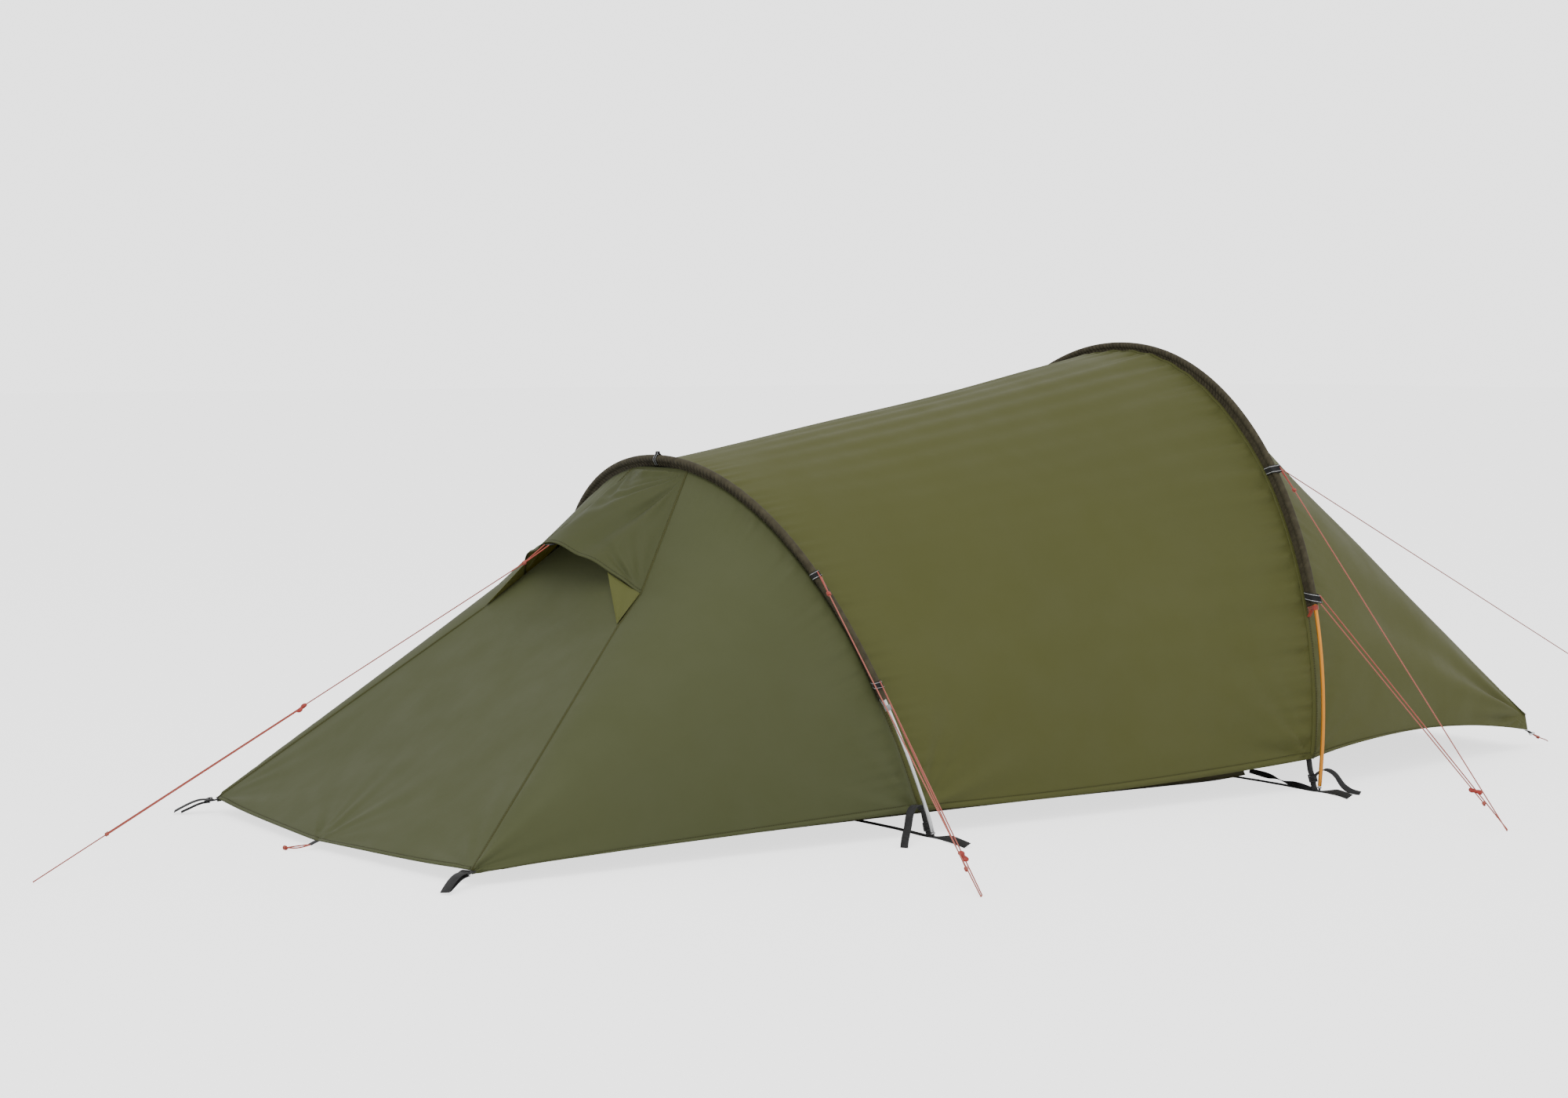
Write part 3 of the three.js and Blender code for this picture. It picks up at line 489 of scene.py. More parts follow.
def white_edge_finish():
    """Pale reflective thread."""
    finish = Finish("reflective_thread", (0.62, 0.63, 0.64), 0.4)
    strands = finish.threads(0.002, "DIAGONAL")
    finish.drive("Base Color", finish.ramp(strands, (0.2, (0.4, 0.41, 0.42)), (0.7, (0.75, 0.76, 0.77))))
    finish.bump(strands, 0.0004, 0.6)
    return finish.material


def metal_finish(name, color, roughness, metallic=0.85):
    """Anodised tube: fine drawn lines, faint smudges and small scuffs."""
    finish = Finish(name, color, roughness, metallic)
    smudge = finish.noise(12, 4)
    scuff = finish.noise(240, 2, (1, 1, 0.08))
    rubbed = finish.ramp(scuff, (0.62, 0.0), (0.72, 0.35))
    finish.drive("Base Color", finish.mix(rubbed, color, scaled(color, 0.8)))
    finish.drive("Roughness", finish.ramp(smudge, (0.3, roughness - 0.06), (0.75, roughness + 0.14)))
    finish.bump(scuff, 0.0001, 0.3)
    return finish.material


def cord_finish():
    """Braided cord, red with pale flecks where the attribute marks them."""
    finish = Finish("guy_cord", (0.42, 0.055, 0.03), 0.75, sheen=0.3)
    braid = finish.noise(700, 2)
    red = finish.ramp(braid, (0.3, (0.30, 0.035, 0.02)), (0.7, (0.50, 0.075, 0.045)))
    finish.drive("Base Color", finish.mix(finish.attribute("fleck"), red, (0.62, 0.30, 0.22)))
    finish.bump(braid, 0.0003, 0.7)
    return finish.material


def plastic_finish(name, color, roughness):
    """Moulded plastic with a fine grain, worn lighter and duller in places."""
    finish = Finish(name, color, roughness)
    wear = finish.noise(60, 4)
    finish.drive("Base Color", finish.ramp(wear, (0.35, scaled(color, 0.8)), (0.75, scaled(color, 1.35))))
    finish.drive("Roughness", finish.ramp(wear, (0.3, roughness - 0.08), (0.7, roughness + 0.12)))
    finish.bump(finish.noise(1500, 2), 0.00008, 0.5)
    return finish.material


OLIVE = (0.091, 0.096, 0.021)
GREY_OLIVE = (0.079, 0.089, 0.031)
PALE_OLIVE = (0.120, 0.128, 0.031)
GLOW = (0.21, 0.22, 0.04)
fly_cloth = cloth_finish("fly_cloth", OLIVE, GLOW)
foot_cloth = cloth_finish("foot_end_cloth", GREY_OLIVE, GLOW)
hood_cloth = cloth_finish("hood_cloth", GREY_OLIVE, (0.55, 0.50, 0.08), 0.22)
gusset_cloth = cloth_finish("gusset_cloth", PALE_OLIVE, (0.55, 0.52, 0.12), 0.2)
seam_cloth = cloth_finish("seam_tape", scaled(OLIVE, 0.78), roughness=0.7)
tub_cloth = cloth_finish("tub_cloth", (0.075, 0.068, 0.022), roughness=0.5)
inner_cloth = cloth_finish("inner_cloth", (0.42, 0.33, 0.12), (0.6, 0.5, 0.2), 0.25)
net_cloth = cloth_finish("netting_thread", (0.02, 0.02, 0.018), roughness=0.8)
thread = cloth_finish("stitching", (0.050, 0.050, 0.014), roughness=0.8)
sleeve_cloth = sleeve_finish()
webbing = webbing_finish()
white_edge = white_edge_finish()
silver = metal_finish("silver_anodised", (0.80, 0.81, 0.82), 0.34)
orange = metal_finish("orange_anodised", (0.78, 0.30, 0.03), 0.33, 0.55)
steel = metal_finish("tip_metal", (0.55, 0.55, 0.56), 0.3)
cord = cord_finish()
red_tape = cloth_finish("red_tape", (0.33, 0.045, 0.022), roughness=0.75)
grey_plastic = plastic_finish("clip_grey", (0.26, 0.27, 0.26), 0.4)
red_plastic = plastic_finish("runner_red", (0.36, 0.030, 0.018), 0.38)
black_tape = cloth_finish("zip_tape_cloth", (0.012, 0.012, 0.012), roughness=0.8)
black_plastic = plastic_finish("buckle_black", (0.014, 0.014, 0.015), 0.4)
shock_rubber = cloth_finish("shock_cord_cover", (0.75, 0.74, 0.70), roughness=0.8)


# ---- small sewn and tied parts ----
def boxes(name, centres, half_sizes, axes, material):
    """Many small boxes in one mesh, each with its own axes."""
    signs = np.array([[x, y, z] for x in (-1, 1) for y in (-1, 1) for z in (-1, 1)], float)
    sides = np.array([[0, 1, 3, 2], [4, 6, 7, 5], [0, 4, 5, 1], [2, 3, 7, 6], [0, 2, 6, 4], [1, 5, 7, 3]])
    points = centres[:, None] + np.einsum("ij,njk->nik", signs * half_sizes, axes)
    faces = (sides[None] + 8 * np.arange(len(centres))[:, None, None]).reshape(-1, 4).tolist()
    return mesh_object(name, points, faces, material, smooth_faces=False)


def stitches(name, path, normals, body=ROOT):
    """A row of stitches that lies on the cloth along a path."""
    pitch = 0.006
    centres = resample(path, pitch)
    normal = unit(normals[[np.argmin(np.linalg.norm(path - p, axis=1)) for p in centres]])
    along = unit(np.gradient(centres, axis=0))
    axes = np.stack([along, unit(np.cross(normal, along)), normal], axis=1)
    half = np.array([pitch * 0.34, 0.0004, 0.0003])
    finish_piece(boxes(name, centres + normal * 0.0006, half, axes, thread), body)


def zip_teeth(name, centres, axes, half, body):
    """Teeth at the centres. The axes run along, across and out of the zip."""
    axes = np.stack([np.broadcast_to(axis, centres.shape) for axis in axes], axis=1)
    finish_piece(boxes(name, centres, np.array(half), axes, black_plastic), body)


def wrap_path(centre, axis, radius, turns, pitch):
    """A helix round an axis, for the wraps of a knot."""
    axis = unit(axis)
    side = unit(np.cross(axis, [0.3, 0.5, 0.8]))
    other = np.cross(axis, side)
    turn = np.linspace(0, 2 * math.pi * turns, int(14 * turns) + 1)[:, None]
    lift = (turn / (2 * math.pi) - turns / 2) * pitch
    return centre + (side * np.cos(turn) + other * np.sin(turn)) * radius + axis * lift


def knot(centre, axis, size=0.0036):
    """Three wraps and one crossing turn, as an overhand knot."""
    side = np.cross(unit(axis), [0.2, 0.9, 0.3])
    return [wrap_path(centre, axis, size, 3, 0.0026), wrap_path(centre, side, size * 0.9, 1, 0.001)]


def cords(name, paths, replaced=()):
    """Cords along several paths, as one piece. A pale fleck marks one side of every other ring."""
    points, faces, flecks, start = [], [], [], 0
    for path in map(np.array, paths):
        away = path[-1] - path[0]
        hint = (1, 0, 0) if abs(away[2]) >= 0.95 * np.linalg.norm(away) else (0, 0, 1)
        sections = tube_sections(resample(path, 0.0012 if len(path) > 20 else 0.0025), 0.0014, hint=hint)
        marks = np.zeros(sections.shape[:2])
        marks[1::2, 0:3] = 0.45
        faces += ring_faces(*marks.shape, start)
        points.append(sections.reshape(-1, 3))
        flecks.append(marks.ravel())
        start += marks.size
    obj = mesh_object(name, np.concatenate(points), faces, cord)
    paint(obj, "fleck", np.concatenate(flecks))
    finish_piece(obj, replaced=replaced)


def cord_pair(name, paths, node=None):
    """Cords for the near side, and their mirror image."""
    for side, flip in SIDES:
        cords(f"{name}_{side}", [np.array(path) * flip for path in paths], [f"{node}_{side}"] if node else ())


TAPE_THICKNESS = 0.0014
TAPE_LOOK = ("webbing", webbing)


def strap(name, points, across, width, thickness=TAPE_THICKNESS, look=TAPE_LOOK, body=ROOT, replaced=()):
    """Webbing along a smooth path. Across gives the direction of its width, once or at each stop."""
    spline = Spline(points)
    share = np.linspace(0, 1, max(8, int(spline.length / 0.003)))
    centre = spline.at(share)
    along = spline.tangent(share)
    across = np.atleast_2d(across)
    stops = spline.stops if len(across) == len(points) else np.linspace(0, 1, len(across))
    wide = read_off(share, stops, across)
    wide = unit(wide - along * np.sum(wide * along, axis=-1, keepdims=True))
    normal = np.cross(along, wide)
    half = width / 2
    shoulder = half - 0.0006
    outline = [(-half, -0.3), (-shoulder, -1), (shoulder, -1), (half, -0.3)]
    outline += [(-x, -y) for x, y in outline]
    sections = np.stack([centre + wide * x + normal * y * thickness / 2 for x, y in outline], axis=1)
    slot, material = look
    finish_piece(loft(name, sections, material), body, replaced)


def strap_pair(name, points, across, width, thickness=TAPE_THICKNESS, look=TAPE_LOOK, node=None):
    """A strap for the near side, and its mirror image."""
    for side, flip in SIDES:
        path, wide = np.array(points) * flip, np.array(across) * flip
        replaced = [f"{node}_{side}"] if node else ()
        strap(f"{name}_{side}", path, wide, width, thickness, look, replaced=replaced)


BUCKLE_LOOK = ("buckle", black_plastic)


# ---- poles ----
TIP = 0.012
TIP_HEIGHTS = np.array([0.0, 0.0006, 0.0065, 0.0072, 0.0100, 0.0108])
TIP_RADII = np.array([0.0018, 0.0026, 0.0026, 0.0052, 0.0052, 0.0044])


def pole(hoop, sections, radius, material):
    """The pole's sections, end to end, each with a small chamfer at its ends."""
    tip = TIP / hoop.length
    for number in range(sections):
        start, end = (tip + (1 - 2 * tip) * (number + k) / sections for k in (0, 1))
        share = np.linspace(start, end, 60)
        share[[1, -2]] = [start + 0.0008 / hoop.length, end - 0.0008 / hoop.length]
        radii = np.full(60, radius)
        radii[[0, -1]] = radius * 0.88
        name = f"{hoop.label}_pole_section_{number + 1}"
        tube = loft(f"{name}_tube", tube_sections(hoop.at(share), radii, 20, hoop.aside), material)
        finish_piece(tube, replaced=[name])


def pole_tips(hoop):
    path = hoop.at(0.0) + hoop.tangent(0.0) * TIP_HEIGHTS[:, None]
    for side, flip in SIDES:
        node = f"{hoop.label}_pole_tip_{side}"
        sections = tube_sections(path * flip, TIP_RADII, 20, (1, 0, 0))
        finish_piece(loft(f"{node}_cap", sections, steel), replaced=[node])


pole(low, 5, 0.00425, silver)
pole(tall, 6, 0.00475, orange)
for hoop in (low, tall):
    pole_tips(hoop)
    cord_slots = frame["nodes"][f"{hoop.label}_pole_shock_cord"].data.materials
    cord_slots.clear()
    cord_slots.append(shock_rubber)


# ---- sleeves ----
TUNNEL = 0.0079
RIB_PITCH = 0.0122
RIB_DEPTH = 0.0027


def sleeve_start(hoop):
    points = vertices(f"{hoop.label}_pole_sleeve")
    return hoop.share_at_height(points[points[:, 1] < 0][:, 2].min())


def sleeve_profile(web):
    """The tunnel's outline about the pole for each web length: up the web, round the pole and down again."""
    turn = np.linspace(-0.28 * math.pi, 1.28 * math.pi, 30)
    round_inset = np.broadcast_to(-np.sin(turn) * TUNNEL, (len(web), 30))
    rise = np.linspace(0, 1, 7)
    web_inset = lerp(web[:, None], round_inset[:, :1] + 0.002, rise)
    flare = 0.0009 + 0.0016 * smooth(rise)
    inset = np.concatenate([web_inset, round_inset, web_inset[:, ::-1]], axis=1)
    aside = np.concatenate([flare, np.cos(turn) * TUNNEL, -flare[::-1]])
    return inset, np.broadcast_to(aside, inset.shape)


def sleeve(hoop, gather):
    """The sleeve, gathered on its web. The gathers are deepest over the top of the hoop."""
    start = sleeve_start(hoop)
    count = int((1 - 2 * start) * hoop.length / (RIB_PITCH / 6))
    share = np.linspace(start, 1 - start, count)
    inset, aside = sleeve_profile(hoop.sewn_inset(share) + 0.001)
    length = share * hoop.length
    rng = np.random.default_rng(5)
    wander = np.interp(length, np.linspace(0, hoop.length, 90), rng.uniform(-0.9, 0.9, 90))
    strength = np.interp(length, np.linspace(0, hoop.length, 70), rng.uniform(0.45, 1.0, 70))
    strength = strength * (0.35 + 0.65 * np.exp(-(((share - 0.5) / 0.2) ** 4))) * gather
    reach = np.abs(np.linspace(-1, 1, inset.shape[1]))
    phase = math.pi * length[:, None] / RIB_PITCH + wander[:, None] + 3.4 * reach
    crest = np.abs(np.sin(phase)) ** 0.7
    ribs = crest * strength[:, None] * (0.1 + 0.9 * smooth((reach - 0.2) / 0.5)) * RIB_DEPTH
    steps = unit(np.stack([np.gradient(inset, axis=1), np.gradient(aside, axis=1)], axis=-1))
    inset = inset + steps[..., 1] * ribs
    aside = aside - steps[..., 0] * ribs
    points = hoop.beside(np.broadcast_to(share[:, None], inset.shape), inset, aside)
    obj = loft(f"{hoop.label}_sleeve", points, sleeve_cloth)
    # Painted shade: how deep each vertex lies in a gather's trough, for the sleeve's material to darken.
    paint(obj, "painted_gather_shade", (1 - crest) * np.minimum(1, strength * 1.4)[:, None] * smooth((reach - 0.1) / 0.4))
    finish_piece(obj, replaced=[f"{hoop.label}_pole_sleeve"])


sleeve(low, 1.0)
sleeve(tall, 0.8)


# ---- webbing loops round the sleeves ----
LOOP_WIDTH = {"low": 0.016, "tall": 0.021}
LOOP_TAB = {"low": 0.0165, "tall": 0.021}
LOOP_SLANT = {"low": 0.004, "tall": 0.009}
FOLD = 0.0022


def loop_outline(tab, foot):
    """The loop's path about the pole: from the fold that holds the cord, round the sleeve, in to the seam."""
    over = TUNNEL + 0.0016
    turn = np.linspace(math.asin(over / tab), -math.asin(over / foot), 14)
    side = [(-tab, 0.0004), (-tab + 0.0007, 0.0017), (-tab + FOLD, 0.0022), (-tab + 2 * FOLD, 0.0020)]
    side += [(-over * math.sin(a), over * math.cos(a)) for a in turn]
    side += [lerp(np.array(side[-1]), np.array([foot, 0.0022]), share) for share in (0.6, 1)]
    return np.array(side + [(inset, -aside) for inset, aside in reversed(side)])


def sleeve_loop(name, hoop, share, tab, width, slant):
    """Webbing round the sleeve with a pale thread along each edge."""
    outline = loop_outline(tab, max(0.0125, float(hoop.sewn_inset(share))))
    lean = slant * outline[:, 0] / tab

    def band(start, end, lift, rows):
        shares = share + (np.linspace(start, end, rows)[:, None] * width + lean) / hoop.length
        inset = outline[:, 0] - lift * (outline[:, 0] < -tab + 0.001)
        aside = outline[:, 1] + lift * np.sign(outline[:, 1])
        return hoop.beside(shares, np.broadcast_to(inset, shares.shape), np.broadcast_to(aside, shares.shape))

    cloth(name, band(-0.5, 0.5, 0, 7), webbing, 0.0013)
    for label, place in (("low_edge", -0.36), ("high_edge", 0.36)):
        cloth(f"{name}_{label}", band(place - 0.035, place + 0.035, 0.0008, 3), white_edge, 0.0004)


def fold_strands(hoop, share, heads):
    """A cord that runs through a near loop's fold and leaves it at both ends, towards two heads."""
    fold = hoop.beside(share - LOOP_SLANT[hoop.label] / hoop.length, FOLD - LOOP_TAB[hoop.label])
    half = hoop.tangent(share) * (LOOP_WIDTH[hoop.label] / 2 + 0.001)
    return [heads[0], fold + half, fold - half, heads[1]]


def guy_tabs(hoop):
    """Where the guy's cords meet the hoop's loops, as the hoop's upper and lower shares."""
    points = vertices(f"{hoop.label}_guy_line_near")
    upper = hoop.share_near(points[np.argmax(points[:, 2])])
    height = points[:, 2] / hoop.at(upper)[2]
    on_hoop = np.abs(points[:, 0] - hoop.at(0.1)[0]) < 0.1
    below = points[on_hoop & (height < 0.65) & (height > 0.3)]
    return {"upper": upper, "lower": hoop.share_near(below[np.argmax(below[:, 1])])}


tabs = {"low": guy_tabs(low), "tall": guy_tabs(tall)}
for hoop in (low, tall):
    label = hoop.label
    for level, share in tabs[label].items():
        for side, place, sign in (("near", share, 1), ("far", 1 - share, -1)):
            name = f"{label}_{level}_loop_{side}"
            sleeve_loop(name, hoop, place, LOOP_TAB[label], LOOP_WIDTH[label], sign * LOOP_SLANT[label])
sleeve_loop("low_apex_loop", low, 0.5, 0.0165, 0.011, 0.007)


# ---- fly sheet ----
low_hem = low.share_at_height(nearest("fly_body", -0.59, -0.68, 0.06)[2])
tall_hem = tall.share_at_height(nearest("fly_body", 0.58, -0.74, 0.077)[2])
foot_corner = nearest("foot_side_near", -1.674, -0.564, 0.033)
foot_middle = nearest("foot_front_panel", -1.713, 0, 0.015)
hood_corner = nearest("foot_side_near", -1.038, -0.241, 0.528)
gusset_foot = nearest("foot_side_near", -1.124, -0.277, 0.465)
seam_top = nearest("foot_side_near", -0.811, -0.118, 0.778)
hood_peak = nearest("vent_hood", -1.116, 0, 0.631)
vent_sill = nearest("foot_front_panel", -0.999, -0.135, 0.616)
porch_corner = nearest("porch_side_near", 1.583, -0.62, 0.048)
porch_corner_top = nearest("porch_side_near", 1.575, -0.618, 0.09)
zip_top = np.array(joint("porch_door_near_fold")["pos_m"])
zip_foot = nearest("porch_door_near", 1.64, 0, 0.03) * [1, 0, 1]
leaf_foot = nearest("porch_door_near", 1.586, -0.604, 0.05)
ridge_low = low.share_at_half_width(-seam_top[1])
ridge_tall = tall.share_at_half_width(0.1)


def to_side(across):
    """Factors that carry a near point to each place across the tent, from -1 near to 1 far."""
    return np.stack([np.ones_like(across), -across, np.ones_like(across)], axis=-1)


def hem_band(name, grid, material, columns, sides=SIDES):
    """The turned-up hem: a second layer over the last columns of a panel, with a row of stitches."""
    normals = outward_normals(grid)
    band = (grid + normals * 0.0009)[:, columns]
    row = columns.start or columns.stop - 1
    edge = band[:, 0 if columns.start else -1]
    for side, flip in sides:
        label = f"{name}_{side}".rstrip("_")
        cloth(label, band * flip, material, 0.0009)
        stitches(f"{label}_stitches", edge * flip, normals[:, row] * flip)


def fly_body():
    """The tunnel between the hoops, gathered along both and slack at its hems."""
    along, around = field(130, 340)
    start = low.edge(lerp(low_hem, 1 - low_hem, around), SEAM)
    end = tall.edge(lerp(tall_hem, 1 - tall_hem, around), -SEAM)
    grid = lerp(start, end, along[..., None])
    sag = (start[0, 0, 2] + end[0, 0, 2]) / 2 - nearest("fly_body", 0, -0.71, 0.055)[2]
    grid[..., 2] -= 4 * sag * along * (1 - along) * np.abs(2 * around - 1) ** 8
    span = np.linalg.norm(end - start, axis=-1)
    girth = around * 2.5
    from_low, from_tall = along * span, (1 - along) * span
    upper = np.exp(-(((around - 0.5) / 0.16) ** 2))
    depth = -0.005 * 4 * along * (1 - along)
    depth += 0.0036 * pucker(girth, from_low, 0.031, 0.040, 1)
    depth += 0.0052 * pucker(girth, from_tall, 0.029, 0.045, 2)
    depth += 0.0032 * pucker(girth, from_tall, 0.085, 0.20, 3)
    depth += 0.0016 * np.sin(girth * 95 + 1.5 * np.sin(along * 3)) * upper * smooth(along * 3)
    depth += 0.0016 * swell(grid * [0.45, 1, 1], 0.33, 4)
    for corner, toward in ((grid[0, 0], (0.5, 0, 1)), (grid[-1, 0], (-0.8, 0, 1))):
        for _, flip in SIDES:
            depth += 0.0040 * fan(grid, corner * flip, toward, ACROSS, 11, 0.30, 5)
    return emboss(grid, depth)


foot_seam = np.array([low.edge(ridge_low, -SEAM), hood_corner, gusset_foot, foot_corner])


def foot_side():
    """From the low hoop to the foot corner, with its upper edge on the seam."""
    along, down = field(120, 120)
    hoop_point = low.edge(lerp(ridge_low, low_hem, down), -SEAM)
    grid = lerp(hoop_point, foot_corner, along[..., None])
    seam_shares = (foot_seam[:, 0] - foot_seam[0, 0]) / (foot_seam[-1, 0] - foot_seam[0, 0])
    pull = read_off(along, seam_shares, foot_seam) - lerp(foot_seam[0], foot_corner, along[..., None])
    grid = grid + pull * ((1 - down) ** 3)[..., None]
    grid[..., 2] -= 0.008 * down * along**8
    span = np.linalg.norm(hoop_point - foot_corner, axis=-1)
    reach = 1 - along
    depth = 0.0034 * pucker(down, along * span, 0.029, 0.045, 11) * np.minimum(1, reach * 6)
    depth += 0.0012 * pucker(along, down * reach * 0.9, 0.034, 0.020, 12) * np.minimum(1, reach * 8)
    depth += 0.0016 * swell(grid, 0.36, 13) * smooth(reach * 4) * smooth(along * 6)
    depth += 0.0045 * fan(grid, foot_corner, (1, 0, 0.25), ACROSS, 13, 0.30, 14)
    depth += 0.0020 * fan(grid, grid[0, -1], (-0.6, 0, 1), ACROSS, 12, 0.24, 15)
    return emboss(grid, depth * smooth(down * 16))


def foot_front():
    """From the vent's sill down to the foot hem, which is pegged at its corners and middle."""
    down, across = field(110, 130)
    across = 2 * across - 1
    size = np.abs(across)
    grid = read_off(down, [0, 0.2, 1], [vent_sill, gusset_foot, foot_corner]) * to_side(across)
    bow = foot_middle - foot_corner * [1, 0, 1]
    grid = grid + bow * (lerp(1 - across**2, 1 - size, 0.7) * down**2)[..., None]
    facing_out = (-0.6, 0, 0.8)
    depth = 0.0018 * swell(grid, 0.40, 21) * smooth(down * 5) * smooth((1 - size) * 5)
    depth += 0.0024 * fan(grid, foot_middle, (0.8, 0, 0.6), facing_out, 12, 0.22, 22)
    for _, flip in SIDES:
        toward = np.array([0.5, 0.6, 0.4]) * flip
        folds = fan(grid, foot_corner * flip, toward, facing_out, 12, 0.26, 23)
        depth += 0.0030 * folds * smooth((1 - size) * 8)
    depth -= 0.006 * 4 * down * (1 - down) * (1 - across**2)
    return emboss(grid, depth)


def hood_edge(across):
    """The hood's free edge: an arch from corner to corner over its peak."""
    bow = hood_corner[0] - hood_peak[0]
    drop = hood_peak[2] - hood_corner[2]
    height = hood_peak[2] - drop * np.abs(across) ** 1.7
    return np.stack([hood_peak[0] + bow * across**2, -hood_corner[1] * across, height], axis=-1)


def vent_hood():
    """From the low hoop out to the free edge, with folds from its four corners."""
    out, across = field(90, 130)
    across = 2 * across - 1
    grid = lerp(low.edge(0.5 + (0.5 - ridge_low) * across, -SEAM), hood_edge(across), out[..., None])
    edges = smooth((1 - np.abs(across)) * 5)
    depth = 0.0020 * pucker(across * 0.2, out * 0.4, 0.027, 0.03, 31) * edges
    for sign, (_, flip) in zip((1, -1), SIDES):
        own_side = smooth(0.5 - 1.1 * sign * across) * edges
        normal = np.array([-0.6, 0, 0.8]) * sign
        down = np.array([-0.7, 0.35, -0.45]) * flip
        back = np.array([0.5, 0.5, 0.5]) * flip
        depth += 0.0085 * fan(grid, seam_top * flip, down, normal, 14, 0.44, 32, 0.14) * own_side
        depth += 0.0048 * fan(grid, hood_corner * flip, back, normal, 15, 0.16, 33, 0.06) * own_side
    depth += 0.004 * 4 * out * (1 - out) * (1 - across**2)
    return emboss(grid, depth)


def hood_gusset():
    """The pale triangle that closes the hood's side."""
    down, across = field(36, 30)
    foot = gusset_foot + [0.0, 0.004, 0.004]
    grid = lerp(hood_edge(-lerp(0.70, 0.995, across)), foot, down[..., None] * 0.985)
    depth = 0.0026 * fan(grid, foot, (0.6, -0.2, 0.8), (-0.6, -0.6, 0.3), 9, 0.3, 41)
    return grid + np.array([-0.5, -0.7, 0.3]) * depth[..., None]


def vent_net():
    """Netting behind the hood, from the sill up to the hoop."""
    up, across = field(34, 44)
    top = seam_top + [-0.02, 0, -0.045]
    grid = lerp(vent_sill, top, up[..., None]) * to_side(2 * across - 1)
    net = mesh_object("vent_net", grid, grid_faces(34, 44), net_cloth)
    net.modifiers.new("threads", "WIREFRAME").thickness = 0.0011
    finish_piece(net, replaced=["vent_netting"])


WHOLE = (("", np.ones(3)),)
body = fly_body()
side_grid = foot_side()
front_grid = foot_front()
hood_grid = vent_hood()
cloth("fly_body_cloth", body, fly_cloth, replaced=["fly_body"])
hem_band("fly_body_hem", body, fly_cloth, slice(0, 3))
cloth_pair("foot_side_cloth", side_grid, foot_cloth, "foot_side")
hem_band("foot_side_hem", side_grid[:113], foot_cloth, slice(117, 120))
cloth("foot_front_cloth", front_grid, foot_cloth, replaced=["foot_front_panel"])
hem_band("foot_front_hem", np.swapaxes(front_grid, 0, 1)[1:-1], foot_cloth, slice(108, 110), WHOLE)
cloth("vent_hood_cloth", hood_grid, hood_cloth, replaced=["vent_hood"])
hem_band("vent_hood_hem", np.swapaxes(hood_grid, 0, 1), hood_cloth, slice(87, 90), WHOLE)
cloth_pair("hood_gusset", hood_gusset(), gusset_cloth)
vent_net()


# ---- seams ----
def seam_tape(name, path, normals, width):
    """A raised felled seam with a row of stitches along each edge."""
    across = unit(np.cross(normals, unit(np.gradient(path, axis=0))))
    offsets = np.linspace(-0.5, 0.5, 5) * width
    lift = 0.0003 + 0.0009 * (1 - (np.abs(offsets) / (width / 2)) ** 4)
    grid = path[:, None] + across[:, None] * offsets[:, None] + normals[:, None] * lift[:, None]
    for side, flip in SIDES:
        cloth(f"{name}_{side}", grid * flip, seam_cloth, 0.0008)
        for row, column in (("a", 1), ("b", 3)):
            stitches(f"{name}_{side}_stitches_{row}", grid[:, column] * flip, normals * flip)


def corner_seam(name, grid, beyond, width):
    """A seam down a side panel's upper edge. Beyond is the way that the panel on its other side faces."""
    rows = np.linspace(0, len(grid) - 1, 90).astype(int)
    seam_tape(name, grid[rows, 0], unit(outward_normals(grid)[rows, 1] + unit(beyond)), width)


def facing(name, panel, row, beside_row):
    """A narrow flat strip of cloth sewn beside a sleeve, over the first of the gathers."""
    edge = panel[row, 1:-1]
    inward = unit(panel[beside_row, 1:-1] - edge)
    normals = outward_normals(panel)[row, 1:-1]
    offsets = np.linspace(0, 0.0105, 6)
    lift = 0.0007 + 0.0012 * np.sin(np.linspace(0.5, math.pi - 0.3, 6))
    grid = edge[:, None] + inward[:, None] * offsets[:, None] + normals[:, None] * lift[:, None]
    cloth(name, grid, fly_cloth, 0.0008)


corner_seam("foot_corner_seam", side_grid, (-0.5, 0, 0.85), 0.006)
facing("tall_sleeve_facing", body, -1, -2)
for hoop, edge in ((low, body[0]), (tall, body[-1])):
    below_sleeve = (edge[:, 1] < 0) & (edge[:, 2] < hoop.at(sleeve_start(hoop))[2])
    bare = resample(edge[below_sleeve], 0.012)
    seam_tape(f"{hoop.label}_hoop_seam", bare, unit(bare - [hoop.at(0.0)[0], 0, 0.1]), 0.006)


# ---- porch ----
OUT = unit([0.7, 0, 0.7])
ZIP_DOWN = unit(zip_foot - zip_top)
LEAF_TOP = 0.03
RIDGE_CAP = 0.12


def porch_side():
    """From the tall hoop to the porch corner, with an arched hem."""
    along, down = field(120, 130)
    hoop_point = tall.edge(lerp(ridge_tall, tall_hem, down), SEAM)
    corner = lerp(porch_corner_top, porch_corner, down[..., None])
    grid = lerp(hoop_point, corner, along[..., None])
    arch_height = nearest("porch_side_near", 0.94, -0.70, 0.1)[2] - 0.062
    grid[..., 2] += 4 * arch_height * along * (1 - along) * down**6
    span = np.linalg.norm(corner - hoop_point, axis=-1)
    above_hem = 0.2 + 0.8 * smooth((1 - down) * 5)
    depth = 0.0034 * pucker(down * 1.1, along * span, 0.030, 0.045, 51)
    depth += 0.0095 * fan(grid, porch_corner_top, (-1, 0, 0.45), ACROSS, 15, 0.80, 52, 0.14) * above_hem
    depth += 0.0014 * swell(grid, 0.30, 53) * smooth((1 - along) * 4)
    depth += 0.0025 * fan(grid, grid[0, -1], (0.8, 0, 1), ACROSS, 10, 0.28, 54)
    return emboss(grid, depth * smooth(down * 16))


